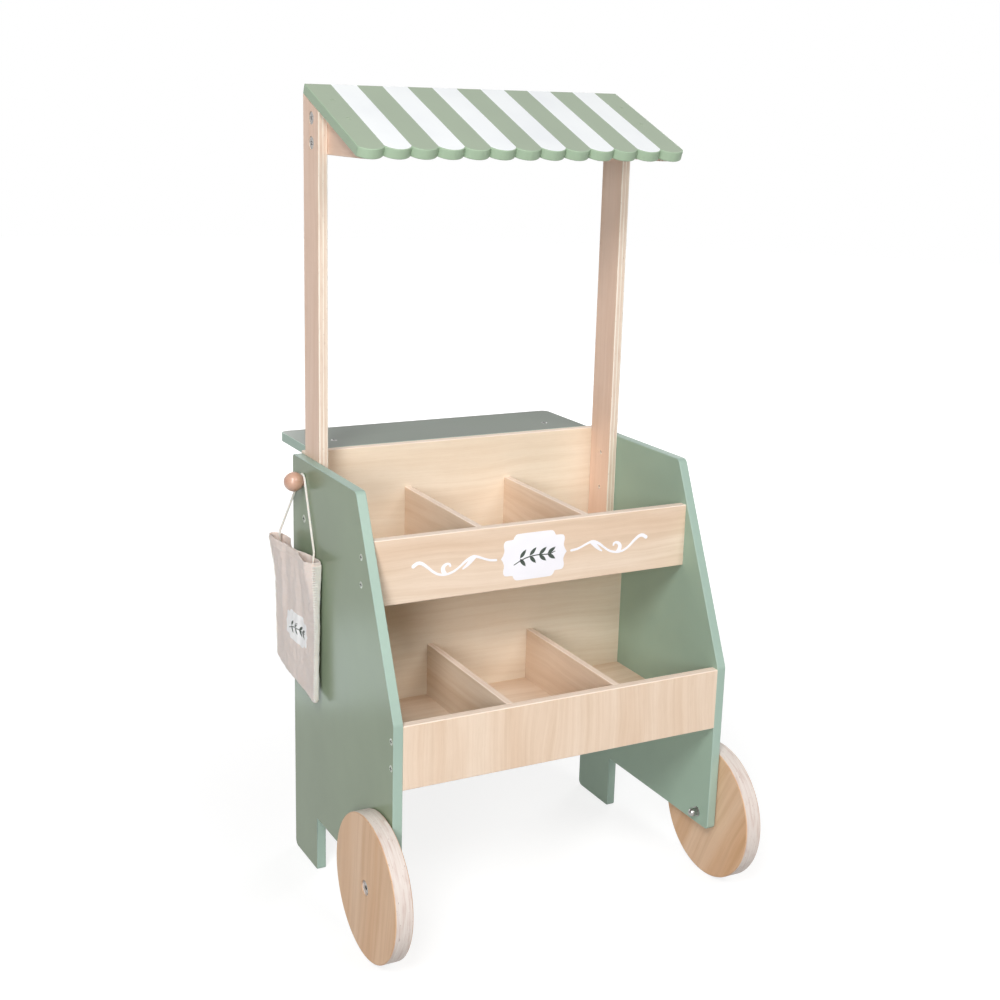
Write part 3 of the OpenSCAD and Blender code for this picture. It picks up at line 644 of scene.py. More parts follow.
def shade_smooth(mesh, angle=SMOOTH_ANGLE):
    for polygon in mesh.polygons:
        polygon.use_smooth = True
    mesh.set_sharp_from_angle(angle=angle)


def keep_flats(made):
    """Keeps broad faces flat in shading beside their eased edges."""
    weighted = made.modifiers.new("flats", "WEIGHTED_NORMAL")
    weighted.keep_sharp = True
    weighted.weight = 100


def keep_vectors(mesh, name, vectors):
    """Keeps one vector for each point of a mesh under a name."""
    attribute = mesh.attributes.new(name, "FLOAT_VECTOR", "POINT")
    attribute.data.foreach_set("vector", [value for vector in vectors for value in vector])


def lay_grain(mesh, along, through, origin, seed):
    """Lays grain on a board: along its length, across its face and through its thickness from an origin."""
    across = through.cross(along)
    spots = [vert.co - origin for vert in mesh.vertices]
    keep_vectors(mesh, "grain", [
        (spot.dot(along) + SEED_SHIFT[0] * seed, spot.dot(across) + SEED_SHIFT[1] * seed, spot.dot(through))
        for spot in spots])


def split_faces(mesh, through):
    """Gives the broad faces the first material and the edges the second."""
    for polygon in mesh.polygons:
        polygon.material_index = 0 if abs(polygon.normal.dot(through)) > BROAD_SHARE else 1


def board(node, along, through, materials, seed, radius=0.0):
    """A board that stands for a CAD node: grain along one axis, thickness along another, and its own seed."""
    bm = node_shape(node)
    if radius:
        ease(bm, radius)
    mesh = mesh_of(bm, node + "_board")
    split_faces(mesh, through)
    lay_grain(mesh, along, through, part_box(node)[0], seed)
    shade_smooth(mesh)
    keep_flats(piece(node + "_board", mesh, "stall", materials, [node]))


# A screw head in shares of its radius: rings as (share, share of the rise), and the cross recess
HEAD_RINGS = ((1, -0.2), (1, 0), (0.9, 0.5), (0.68, 1))
HEAD_SIDES = 32
HEAD_RISE = 0.09
CROSS_ARM, CROSS_REACH = 0.17, 0.62
CROSS_LEVELS = (1, 0.1)
# Share of the CAD head that the dome covers, and the least share of the largest face that a head has
HEAD_COVER, HEAD_LEAST = 0.98, 0.95


def cross_head(radius):
    """A low domed screw head with a cross recess, facing up from the flat head under it."""
    bm = bmesh.new()
    rise, arm, reach = HEAD_RISE * radius, CROSS_ARM * radius, CROSS_REACH * radius
    turns = [2 * math.pi * k / HEAD_SIDES for k in range(HEAD_SIDES)]
    round_edge = [Vector((math.cos(turn), math.sin(turn))) * radius for turn in turns]
    corners = [Vector((reach, -arm)), Vector((reach, arm)), Vector((arm, arm))]
    cross = [Matrix.Rotation(math.pi / 2 * k, 2) @ corner for k in range(4) for corner in corners]
    dome = [[bm.verts.new((*(p * share), z * rise)) for p in round_edge] for share, z in HEAD_RINGS]
    recess = [[bm.verts.new((*p, z * rise)) for p in cross] for z in CROSS_LEVELS]
    bridge(bm, dome)
    # The recess faces take the second material, a dark finish that paints the shade in the recess
    for face in [*bridge(bm, recess), bm.faces.new(recess[1])]:
        face.material_index = 1
    top = [bm.edges.get((loop[k - 1], loop[k])) for loop in (dome[-1], recess[0]) for k in range(len(loop))]
    bmesh.ops.triangle_fill(bm, use_beauty=True, use_dissolve=False, edges=top)
    bm.faces.new(dome[0])
    bmesh.ops.recalc_face_normals(bm, faces=bm.faces)
    return bm


def screw_heads(name, nodes, material, recess):
    """Finishes screws and domes their flat heads, which are their largest faces; the cross recesses take a
    second, dark finish that paints their shade.
    """
    heads = []
    for node in nodes:
        coat(node, material)
        screws = node_shape(node)
        largest = max(face.calc_area() for face in screws.faces)
        for face in screws.faces:
            if face.calc_area() > HEAD_LEAST * largest:
                head = cross_head(HEAD_COVER * math.sqrt(face.calc_area() / math.pi))
                turn = face.normal.to_track_quat("Z", "Y").to_matrix().to_4x4()
                place = Matrix.Translation(face.calc_center_median()) @ turn
                bmesh.ops.transform(head, verts=head.verts, matrix=place)
                heads.append(head)
        screws.free()
    mesh = mesh_of(join(heads), name)
    shade_smooth(mesh)
    piece(name, mesh, "stall", [material, recess])


# The bag

# The cord's route in millimetres: up from the rear of the mouth, over the peg's neck and down to the front
CORD_ROUTE = [
    [-240.0, 139.5, 431.1], [-240.0, 139.3, 433.6], [-238.9, 136.1, 440.1], [-237.8, 132.8, 446.6],
    [-236.7, 129.6, 453.1], [-235.6, 126.3, 459.6], [-234.5, 123.1, 466.1], [-233.4, 119.9, 472.6],
    [-232.3, 116.6, 479.1], [-231.2, 113.4, 485.6], [-230.1, 110.2, 492.1], [-229.0, 106.9, 498.6],
    [-227.9, 103.7, 505.1], [-226.8, 100.5, 511.6], [-226.8, 98.0, 514.6], [-226.8, 94.6, 516.1],
    [-226.8, 90.8, 516.0], [-226.8, 87.4, 514.1], [-226.8, 85.3, 511.0], [-226.9, 82.5, 504.1],
    [-227.0, 79.8, 497.2], [-227.1, 77.1, 490.3], [-227.1, 74.3, 483.4], [-227.2, 71.6, 476.5],
    [-227.3, 68.8, 469.6], [-227.4, 66.1, 462.7], [-227.5, 63.3, 455.8], [-227.6, 60.6, 448.9],
    [-227.6, 57.8, 442.0], [-227.7, 55.1, 435.1], [-227.8, 52.4, 428.3], [-227.8, 52.5, 425.8]]
# From each end of the route into the mouth, where the cord is sewn to the panel's side of the cloth
REAR_SEWN_END = [
    [-239.9, 140.2, 428.5], [-239.2, 141.6, 425.0], [-238.3, 143.0, 421.0], [-237.6, 144.0, 416.5]]
FRONT_SEWN_END = [
    [-228.6, 51.4, 423.4], [-229.4, 50.2, 420.4], [-230.0, 49.0, 417.2], [-230.4, 48.0, 413.6]]
# Its strands, the share of its radius by which they stand out, and its mesh's sides and steps between points
CORD_STRANDS, CORD_GROOVE = 3, 0.07
CORD_SIDES, CORD_STEPS = 12, 6

# Where the bag hangs under the peg, in millimetres: off the panel, below the peg's axis and forward of it
BAG_OFF, BAG_DROP, BAG_FORWARD = 12, 83, 1.5
# How far the bag turns off the panel and leans to the front, in degrees at its fold and at its mouth
BAG_TURN = (1.8, 4.0)
BAG_FLARE = 4.6
BAG_LEAN = (9.3, 2.5)
# Where the front of the cord presses the rim down (rear -1, front 1), how far round and how deep
CORD_PLACE, CORD_REACH, CORD_DIP = 0.62, 0.2, 2.0
# Radius of the fold's corners at the rear and at the front, in millimetres
BAG_CORNERS = (4, 5)
# How far the mouth's rim stands off the bag's middle, in millimetres, from its rear (-1) to its front (1)
OUTER_RIM = [
    (-1, 0.8), (-0.85, 3.6), (-0.65, 4.6), (-0.4, 4.4), (-0.2, 2.8), (0.05, 4.4), (0.25, 6.0), (0.45, 9.2),
    (0.65, 13.0), (0.8, 16.0), (0.9, 13.0), (1, 9.0)]
PANEL_RIM = [
    (-1, 7.0), (-0.88, 11.0), (-0.74, 13.2), (-0.58, 13.4), (-0.42, 10.0), (-0.2, 3.2), (0, -2.4),
    (0.22, -2.6), (0.4, 0.6), (0.52, 4.6), (0.65, 4.8), (0.8, 3.0), (1, 1.0)]
# Crinkles of the cloth: height in millimetres, weights of u and f across and again along, and a seed
CRINKLES = [
    (0.7, 3.4, 0, 0, 3.8, 2.1), (0.6, 8.3, 0, 0, 5.7, 7.7), (0.35, 17.3, 5, 0, 11.9, 1.3),
    (0.75, 7.1, 4, -3, 16.7, 9.1)]
# Wrinkles at the side seams: their place and width from the middle (0) to a side (1), and their number
PUCKER_PLACE, PUCKER_WIDTH, PUCKER_COUNT = 0.84, 0.11, 19
# The thread of a side seam: its start and run in shares of the height, and its mesh's steps a turn and sides
SEAM_START, SEAM_RUN = 0.025, 0.955
SEAM_STEPS, SEAM_SIDES = 16, 8
# Rows and columns of the cloth's mesh, and the power that crowds the rows towards the mouth
BAG_ROWS, BAG_COLUMNS, BAG_CROWD = 120, 90, 0.9
# The hem: the share of the cloth's thickness by which it stands proud, its span between the side seams,
# and the share of the bag's height in which its edge rises
HEM_RISE, HEM_SPAN, HEM_EDGE = 0.45, 0.97, 0.004
# The hem's stitches: distance and width in millimetres, and their shares of the bag's width and of the hem
STITCH_PITCH, STITCH_WIDTH, STITCH_SIDES = 3.2, 0.44, 6
STITCH_SPAN, STITCH_LINE = 0.94, 0.84
# One stitch, as shares of its distance and rises over the cloth in millimetres
STITCH_POINTS = ((0.14, -0.05), (0.5, 0.12), (0.86, -0.05))
# Where the middle of the label is on the bag, and its height, its sprig and its cells as shares of its width
LABEL_PLACE = (0.13, 0.415)
LABEL_HEIGHT, LABEL_SPRIG, LABEL_CELL = 0.64, 0.84, 0.03
# Heights of the label and its sprig over the cloth, in millimetres
LABEL_FILM, SPRIG_FILM = 0.15, 0.22


class Bag:
    """The hanging cloth: u runs from rear (-1) to front (1), f up from the fold (0) to the mouth (1)."""

    def __init__(self, sizes):
        peg = next(joint for joint in frame["joints"] if joint["name"] == "bag_swing")["pos_m"]
        self.width, self.height, self.depth = sizes.bag_width, sizes.bag_height, sizes.bag_depth
        self.hem = sizes.hem / sizes.bag_height
        self.rims = {1: smooth_run(OUTER_RIM, 8), -1: smooth_run(PANEL_RIM, 8)}
        self.fold = Vector((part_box("left_side_panel")[0].x - BAG_OFF * MM, peg[1] - BAG_FORWARD * MM,
                            peg[2] - BAG_DROP * MM - self.height))

    def offset(self, u, f, side):
        """How far a layer stands off the bag's middle, in millimetres: the mouth gapes at its two ends."""
        mouth = step_between(0.55, 1.0, f)
        gape = level(self.rims[side], u)
        slack = self.depth / MM / 2 + 0.6 * noise.noise((2.2 * u, 3.1 * f, 5.3 * side))
        return slack + (gape - slack) * mouth

    def ripple(self, u, f):
        """Folds that fall from the mouth, crinkles and the bend of the whole cloth, in millimetres."""
        falling = step_between(0.15, 0.7, f) * (1 - 0.8 * step_between(0.75, 1.0, f))
        folds = 0.8 * math.sin(11 * u + 0.9 + 0.8 * f) + 0.45 * math.sin(19 * u - 3 * f + 0.4)
        crinkles = sum(
            height * noise.noise((across_u * u + across_f * f, along_u * u + along_f * f, seed))
            for height, across_u, across_f, along_u, along_f, seed in CRINKLES)
        bend = 1.6 * math.sin(math.pi * u) * math.sin(math.pi * min(1.0, 0.15 + 0.8 * f))
        return falling * folds + crinkles + self.pucker(u, f) - bend

    def pucker(self, u, f):
        """Short wrinkles that the side seams draw into the cloth, in millimetres."""
        near = math.exp(-((abs(u) - PUCKER_PLACE) / PUCKER_WIDTH) ** 2)
        turn = 2 * math.pi * (PUCKER_COUNT * f - 6 * abs(u) + 1.6 * noise.noise((2.0 * u, 7.0 * f, 4.4)))
        return near * math.sin(turn) * (0.6 + 0.9 * noise.noise((u, 6.1 * f, 8.2)))

    def seam(self, end, pitch, width):
        """The zigzag of the soft thread round one side seam, from the fold to the mouth."""
        steps = int(0.95 * self.height / pitch) * SEAM_STEPS
        inside = 1 - self.depth / self.width
        run = []
        for i in range(steps + 1):
            f = SEAM_START + SEAM_RUN * i / steps
            reach = 1.2 + 0.25 * noise.noise((0.045 * i, 3.0 * end, 0.5))
            swing = reach * math.sin(2 * math.pi * i / SEAM_STEPS)
            over = math.sqrt(max(0.0, math.cos(swing)))
            side = 1 if swing >= 0 else -1
            spot = self.point(end * (inside + (1 - inside) * over), f, side)
            middle = (self.point(end * inside, f, 1) + self.point(end * inside, f, -1)) / 2
            lift = 0.3 + 0.35 * noise.noise((0.03 * i, 5.0 * end, 2.5))
            run.append(spot + (spot - middle).normalized() * lift * width)
        return run

    def point(self, u, f, side):
        """A point of the outer (side 1) or the panel's (side -1) layer."""
        up, bend = f * self.height, self.depth / 2
        corner = BAG_CORNERS[u > 0] * MM
        half = self.width / 2 + 0.5 * MM * noise.noise((0.7, 6.5 * f, 3.0 + (u > 0)))
        if up < corner:
            half -= corner - math.sqrt(corner ** 2 - (corner - up) ** 2)
        along = u * half
        over = min(1.0, max(0.0, (abs(along) - half + bend) / bend))
        under = 1 - min(1.0, up / bend)
        thick = (1 - over ** 4) ** 0.25 * math.sqrt(1 - under ** 2)
        w = MM * (side * self.offset(u, f, side) * thick + self.ripple(u, f) * (1 - u ** 8) * (1 - under))
        pressed = max(0.0, 1 - ((u - CORD_PLACE) / CORD_REACH) ** 2) * (1 - side) / 2
        dip = CORD_DIP * MM * step_between(0.9, 1.0, f) * pressed
        flare = BAG_FLARE * step_between(0.6, 1.0, f)
        turn = math.radians(BAG_TURN[0] + (BAG_TURN[1] - BAG_TURN[0]) * f + flare)
        lean = math.radians(BAG_LEAN[0] + (BAG_LEAN[1] - BAG_LEAN[0]) * f)
        nearer = 2.6 * min(0.0, u) ** 2 * (1 - step_between(0.75, 1.0, f)) - 1.5 * step_between(0.5, 1.0, f)
        ahead = along * math.cos(turn) + w * math.sin(turn)
        return self.fold + Vector((
            along * math.sin(turn) - w * math.cos(turn) + nearer * MM, -ahead,
            up - dip - ahead * math.tan(lean)))

    def outward(self, u, f, side):
        """The direction off the cloth."""
        step = 0.01
        across = self.point(min(1.0, u + step), f, side) - self.point(max(-1.0, u - step), f, side)
        up = self.point(u, min(1.0, f + step), side) - self.point(u, max(0.0, f - step), side)
        return side * across.cross(up).normalized()

    def laid(self, bm, u, f, size):
        """Lays a flat shape on the outer layer round a place on it."""
        for vert in bm.verts:
            here_u = u + vert.co.x * size / (self.width / 2)
            here_f = f + vert.co.y * size / self.height
            vert.co = self.point(here_u, here_f, 1) + self.outward(here_u, here_f, 1) * vert.co.z
        return bm


# Stage

# Where the lamps are, what they point at and how wide they are, in metres
STALL_MIDDLE = (0, 0, 0.45)
LAMPS = {
    "key": ((-2.07, -2.46, 3.15), STALL_MIDDLE, 1.5), "low": ((-2.53, -3.24, 1.32), STALL_MIDDLE, 1.2),
    "fill": ((0.89, -3.32, 2.86), STALL_MIDDLE, 1.8), "back": ((3.0, 2.2, 1.5), STALL_MIDDLE, 1.8),
    "rear": ((0.2, 3.4, 0.85), STALL_MIDDLE, 1.6), "side": ((-0.53, 0.68, 0.02), (-0.53, 0.68, 1), 0.42)}
SIDE_LAMP_COLOUR = (0.78, 0.93, 1.0)
# The floor's radius and sides, and its glow from near the stall to far from it
FLOOR_RADIUS, FLOOR_SIDES = 9, 96
FLOOR_NEAR, FLOOR_FAR = 0.35, 1.7
GLOW_NEAR, GLOW_FAR = 0.78, 1.0


def aimed(made, target):
    made.rotation_euler = (Vector(target) - made.location).to_track_quat("-Z", "Y").to_euler()


def lamp(name, place, target, size, power):
    data = bpy.data.lights.new(name, "AREA")
    data.shape = "DISK"
    data.size = size
    data.energy = power
    made = bpy.data.objects.new(name, data)
    made.location = place
    bpy.context.scene.collection.objects.link(made)
    aimed(made, target)


def seen_rays(tree):
    """1 for what the camera, a reflection or a clear piece sees, and 0 for light that falls on the stall."""
    path = add(tree, "ShaderNodeLightPath")
    either = calculated(tree, "MAXIMUM", path.outputs["Is Camera Ray"], path.outputs["Is Glossy Ray"])
    return calculated(tree, "MAXIMUM", either, path.outputs["Is Transmission Ray"])


def spread_rays(tree, strength):
    """A strength of 1 where the sky is seen, and the given one where it lights the stall."""
    inputs = {"Value": seen_rays(tree), "To Min": strength, "To Max": 1.0}
    return add(tree, "ShaderNodeMapRange", inputs).outputs["Result"]


def floor_paper(tone, shade):
    """Pale paper that keeps the stall's shadow and is seen nearly white."""
    material, tree, shader = start("floor paper", 0.9, Specular_IOR_Level=0.05, Emission_Color=rgba(WHITE))
    where = add(tree, "ShaderNodeTexCoord").outputs["Object"]
    seen = seen_rays(tree)
    base = ramp(tree, seen, [(0.0, tone), (1.0, shade)])
    base = shaded(tree, base, 1.0, noise_of(tree, where, 300.0, 2.0), 0.3, 0.7, (0.985, 0.985, 0.985))
    link(tree, shader.inputs["Base Color"], base)
    reach = add(tree, "ShaderNodeVectorMath", {0: where}, operation="LENGTH").outputs["Value"]
    inputs = {"Value": reach, "From Min": FLOOR_NEAR, "From Max": FLOOR_FAR,
              "To Min": GLOW_NEAR, "To Max": GLOW_FAR}
    glow = add(tree, "ShaderNodeMapRange", inputs).outputs["Result"]
    link(tree, shader.inputs["Emission Strength"], calculated(tree, "MULTIPLY", seen, glow))
    return material


# Operators

def settings_of(context):
    return context.scene.stall_colours, context.scene.stall_sizes


class STALL_OT_stage(bpy.types.Operator):
    """Set the camera, the lamps, the sky and the floor"""
    bl_idname = "stall.stage"
    bl_label = "Stage"

    def execute(self, context):
        scene, settings = context.scene, context.scene.stall_stage
        scene.view_settings.view_transform = "Standard"
        data = bpy.data.cameras.new("camera")
        data.lens, data.sensor_width = settings.lens, settings.sensor
        data.clip_end = 50
        camera = bpy.data.objects.new("camera", data)
        scene.collection.objects.link(camera)
        turn = (Matrix.Rotation(settings.yaw, 3, "Z") @ Matrix.Rotation(math.pi / 2 + settings.pitch, 3, "X")
                @ Matrix.Rotation(settings.roll, 3, "Z"))
        camera.matrix_world = Matrix.Translation(settings.eye) @ turn.to_4x4()
        scene.camera = camera

        world = bpy.data.worlds.new("studio")
        scene.world = world
        world.use_nodes = True
        sky = world.node_tree.nodes["Background"]
        sky.inputs["Color"].default_value = rgba(WHITE)
        link(world.node_tree, sky.inputs["Strength"], spread_rays(world.node_tree, settings.sky))

        for name, (place, target, size) in LAMPS.items():
            lamp(name + " lamp", place, target, size, getattr(settings, name))
        bpy.data.objects["side lamp"].visible_camera = False
        bpy.data.lights["side lamp"].color = SIDE_LAMP_COLOUR

        bm = bmesh.new()
        bmesh.ops.create_circle(bm, cap_ends=True, segments=FLOOR_SIDES, radius=FLOOR_RADIUS)
        floor = bpy.data.objects.new("floor", mesh_of(bm, "floor"))
        scene.collection.objects.link(floor)
        floor.data.materials.append(floor_paper(scene.stall_colours.floor, scene.stall_colours.floor_shade))
        return {"FINISHED"}


class STALL_OT_bag_cord(bpy.types.Operator):
    """Hang the cord of the bag over the ball peg"""
    bl_idname = "stall.bag_cord"
    bl_label = "Bag cord"

    def execute(self, context):
        colours, sizes = settings_of(context)
        route = REAR_SEWN_END[::-1] + CORD_ROUTE + FRONT_SEWN_END
        path = smooth_run([Vector(p) * MM for p in route], CORD_STEPS)
        radius, twist = sizes.cord_width / 2, 2 * math.pi / sizes.cord_pitch

        def radius_at(turn, run):
            return radius * (1 - CORD_GROOVE + CORD_GROOVE * math.cos(CORD_STRANDS * (turn - twist * run)))

        bm, places = tube(path, CORD_SIDES, radius_at)
        mesh = mesh_of(bm, "bag_cord_twist")
        keep_vectors(mesh, "weave", [(radius * (turn - twist * here), here, 0.0) for turn, here in places])
        shade_smooth(mesh, THREAD_ANGLE)
        cloth = finish("cord cotton", woven, colours.cord, colours.cotton, pitch=0.6 * MM)
        made = piece("bag_cord_twist", mesh, "bag", [cloth], ["bag_cord"])
        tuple(path[0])
        return {"FINISHED"}


class STALL_OT_bag(bpy.types.Operator):
    """Hang the cloth bag with its hem, stitches and printed label"""
    bl_idname = "stall.bag"
    bl_label = "Bag"

    def execute(self, context):
        colours, sizes = settings_of(context)
        bag = Bag(sizes)
        made = self.cloth(bag, colours, sizes)
        sewn = self.sewn(bag, colours, sizes)
        printed = self.printed(bag, colours, sizes)
        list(printed)
        return {"FINISHED"}

    def cloth(self, bag, colours, sizes):
        """The cloth with its hem, as one piece."""
        turns = [math.pi * k / BAG_COLUMNS for k in range(BAG_COLUMNS)]
        ring = [(-math.cos(turn), 1) for turn in turns] + [(math.cos(turn), -1) for turn in turns]
        bm = bmesh.new()
        weave = bm.verts.layers.float_vector.new("weave")
        grid = []
        for i in range(BAG_ROWS + 1):
            f = (i / BAG_ROWS) ** BAG_CROWD
            edge = 1 - bag.hem
            band = sizes.cloth * HEM_RISE * step_between(edge - HEM_EDGE, edge + HEM_EDGE, f)
            line = []
            for u, side in ring:
                spot = bag.point(u, f, side)
                if abs(u) < HEM_SPAN:
                    spot += bag.outward(u, f, side) * band
                line.append(bm.verts.new(spot))
                line[-1][weave] = (u * bag.width / 2, f * bag.height, 0.01 * side)
            grid.append(line)
        bridge(bm, grid)
        bmesh.ops.remove_doubles(bm, verts=grid[0], dist=0.3 * MM)
        bmesh.ops.recalc_face_normals(bm, faces=bm.faces)
        mesh = mesh_of(bm, "bag_cloth")
        shade_smooth(mesh, CLOTH_ANGLE)
        cotton = finish("bag cotton", woven, colours.cotton, colours.cotton_dark)
        made = piece("bag_cloth", mesh, "bag", [cotton], ["bag"])
        wall = made.modifiers.new("wall", "SOLIDIFY")
        wall.thickness, wall.offset = sizes.cloth, -1
        return made

    def sewn(self, bag, colours, sizes):
        """The stitches of the hem and the soft thread of the side seams."""
        count = int(bag.width * STITCH_SPAN / (STITCH_PITCH * MM))
        f = 1 - bag.hem * STITCH_LINE
        threads = []
        for side in (1, -1):
            for i in range(count):
                run = []
                for share, rise in STITCH_POINTS:
                    u = STITCH_SPAN * (2 * (i + share) / count - 1)
                    lift = sizes.cloth * HEM_RISE + rise * MM
                    run.append(bag.point(u, f, side) + bag.outward(u, f, side) * lift)
                threads.append(thread(run, STITCH_WIDTH * MM, STITCH_SIDES))
        for end in (-1, 1):
            run = bag.seam(end, sizes.seam_pitch, sizes.seam_thread)
            threads.append(thread(run, sizes.seam_thread, SEAM_SIDES))
        cotton = finish("thread", woven, colours.cord, colours.cotton, pitch=0.4 * MM)
        return self.soft_piece("bag_stitches", join(threads), cotton, THREAD_ANGLE)

    def printed(self, bag, colours, sizes):
        """The label and its sprig."""
        label = filled(plaque_outline(1, LABEL_HEIGHT), LABEL_CELL)
        for name, bm, tone, height in (
                ("bag_label", label, colours.print_white, LABEL_FILM),
                ("bag_label_sprig", sprig(LABEL_SPRIG), colours.ink, SPRIG_FILM)):
            raised(bm, height * MM)
            bag.laid(bm, *LABEL_PLACE, sizes.label_width)
            ink = finish(name.replace("_", " "), woven, tone, tone, soft=0)
            yield self.soft_piece(name, bm, ink, SMOOTH_ANGLE)

    def soft_piece(self, name, bm, material, angle):
        """A piece that lies on the cloth."""
        mesh = mesh_of(bm, name)
        keep_vectors(mesh, "weave", [vert.co for vert in mesh.vertices])
        shade_smooth(mesh, angle)
        return piece(name, mesh, "bag", [material])


class STALL_OT_panels(bpy.types.Operator):
    """Paint the two side panels"""
    bl_idname = "stall.panels"
    bl_label = "Side panels"

    def execute(self, context):
        colours, sizes = settings_of(context)
        edge = finish("edge paint", paint, colours.mint)
        # The right panel takes the lighter copy of the sage, which holds painted light and sheen
        for seed, (side, tone) in enumerate((("left", colours.sage), ("right", colours.sage_right_lit))):
            face = finish(side + " sage paint", paint, tone, roughness=0.22, gloss=0.18)
            first = SEEDS["panels"]
            board(side + "_side_panel", Z, X, [face, edge], first + seed, sizes.paint_ease)
        return {"FINISHED"}


class STALL_OT_counter(bpy.types.Operator):
    """Paint the counter and lay the plies of its brackets"""
    bl_idname = "stall.counter"
    bl_label = "Counter"

    def execute(self, context):
        colours, sizes = settings_of(context)
        paints = [finish("counter paint", paint, colours.counter, roughness=0.3, gloss=0.1),
                  finish("edge paint", paint, colours.mint)]
        board("counter_top", X, Z, paints, SEEDS["counter"], sizes.paint_ease)
        woods = [birch_face(colours), birch_edge(colours, sizes)]
        for seed, side in enumerate(("left", "right")):
            first = SEEDS["brackets"]
            board(side + "_counter_bracket", Z, X, woods, first + seed, sizes.ply_ease)
        return {"FINISHED"}


# The grain of the tray boards: direction along the grain and direction through the board
TRAY_BOARDS = {
    "upper_front_board": (X, Y), "lower_front_board": (Z, Y), "upper_back_board": (X, Y),
    "lower_back_board": (X, Y), "upper_shelf": (X, Z), "lower_shelf": (X, Z), "upper_left_divider": (Y, X),
    "upper_right_divider": (Y, X), "lower_left_divider": (Y, X), "lower_right_divider": (Y, X)}


class STALL_OT_trays(bpy.types.Operator):
    """Lay birch veneer and plies on the boards of the two trays"""
    bl_idname = "stall.trays"
    bl_label = "Trays"

    def execute(self, context):
        colours, sizes = settings_of(context)
        edge = finish("tray edge", laminated, colours.edge_light, colours.edge_dark, BOARD, sizes.ply_layers,
                      contrast=0.5, specks=0.25)
        woods = [birch_face(colours), edge]
        pale = [finish("pale veneer", veneer, colours.pale, colours.pale_dark), edge]
        for seed, (node, (along, through)) in enumerate(TRAY_BOARDS.items()):
            finishes = pale if "back" in node else woods
            board(node, along, through, finishes, SEEDS["trays"] + seed)
        return {"FINISHED"}


class STALL_OT_posts(bpy.types.Operator):
    """Lay veneer and plies on the posts and the roof arms"""
    bl_idname = "stall.posts"
    bl_label = "Posts and roof arms"

    def execute(self, context):
        colours, sizes = settings_of(context)
        face = finish("post veneer", veneer, colours.post, colours.post_dark)
        woods = [face, birch_edge(colours, sizes)]
        for seed, side in enumerate(("left", "right")):
            board(side + "_post", Z, X, woods, SEEDS["posts"] + seed)
            first = SEEDS["arms"]
            board(side + "_roof_gusset", Y, X, woods, first + seed, sizes.ply_ease)
        return {"FINISHED"}


class STALL_OT_roof(bpy.types.Operator):
    """Paint the roof with stripes that end at the scallops"""
    bl_idname = "stall.roof"
    bl_label = "Roof"

    def execute(self, context):
        colours, sizes = settings_of(context)
        low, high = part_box("roof_board")
        bm = node_shape("roof_board")
        ease(bm, sizes.paint_ease)
        wide = (high.x - low.x) / sizes.stripes
        for i in range(1, sizes.stripes):
            cut(bm, X, low.x + wide * i, 0.02 * MM)
        bm.normal_update()
        for face in bm.faces:
            stripe = int((face.calc_center_median().x - low.x) / wide)
            if face.normal.z > ROOF_SHARE:
                face.material_index = stripe % 2
            else:
                face.material_index = 0 if face.normal.z < -ROOF_SHARE else 2
        mesh = mesh_of(bm, "roof_striped")
        shade_smooth(mesh)
        green = finish("roof green", paint, colours.roof_green)
        white = finish("white paint", paint, colours.white)
        paints = [green, white, finish("roof edge paint", paint, colours.roof_edge)]
        keep_flats(piece("roof_striped", mesh, "stall", paints, ["roof_board"]))
        screw_heads("roof_screw_heads", ["roof_screws"], green, green)
        return {"FINISHED"}


# Degrees by which the grain of each wheel leans at rest
WHEEL_TILTS = {"left": 9, "right": 27}


class STALL_OT_wheels(bpy.types.Operator):
    """Lay veneer on the wheels' faces and plies round their rims"""
    bl_idname = "stall.wheels"
    bl_label = "Wheels"

    def execute(self, context):
        colours, sizes = settings_of(context)
        for seed, (side, degrees) in enumerate(WHEEL_TILTS.items()):
            node, tilt = side + "_wheel", math.radians(degrees)
            low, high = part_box(node)
            mesh = mesh_of(node_shape(node), node + "_disc")
            split_faces(mesh, X)
            along = Vector((0, -math.sin(tilt), math.cos(tilt)))
            lay_grain(mesh, along, X, low, SEEDS["wheels"] + seed)
            shade_smooth(mesh)
            faces = finish("wheel veneer", veneer, colours.wheel, colours.wheel_dark, contrast=0.95)
            rim = finish("wheel rim", laminated, colours.rim, colours.rim_dark, high.x - low.x,
                         sizes.rim_layers, contrast=0.3, specks=0.9, skin=colours.rim_skin)
            keep_flats(piece(node + "_disc", mesh, node, [faces, rim], [node]))
        return {"FINISHED"}


class STALL_OT_fasteners(bpy.types.Operator):
    """Finish the screws, bolts, nuts, dowels and the ball peg"""
    bl_idname = "stall.fasteners"
    bl_label = "Fasteners and peg"

    def execute(self, context):
        colours = context.scene.stall_colours
        wood = finish("turned beech", solid_beech, colours.beech, colours.beech_dark)
        metal = finish("zinc plate", plated_steel, colours.steel)
        plate = finish("screw plate", plated_steel, colours.screw_steel)
        # The recess finish is a dark steel that paints the shade in the screws' cross recesses
        recess = finish("recess steel", plated_steel, colours.recess_shade)
        screw_heads("counter_screw_heads", ["counter_screws"], metal, recess)
        screw_heads("panel_screw_heads", ["front_board_screws", "post_bolts"], plate, recess)
        for node in ("left_axle_bolt", "right_axle_bolt", "axle_washers", "axle_cap_nuts", "gusset_bolts",
                     "gusset_sleeve_nuts", "peg_stud"):
            coat(node, metal)
        for node in ("shelf_dowels", "back_board_dowels", "bracket_dowels", "peg_knob"):
            coat(node, wood)
        return {"FINISHED"}


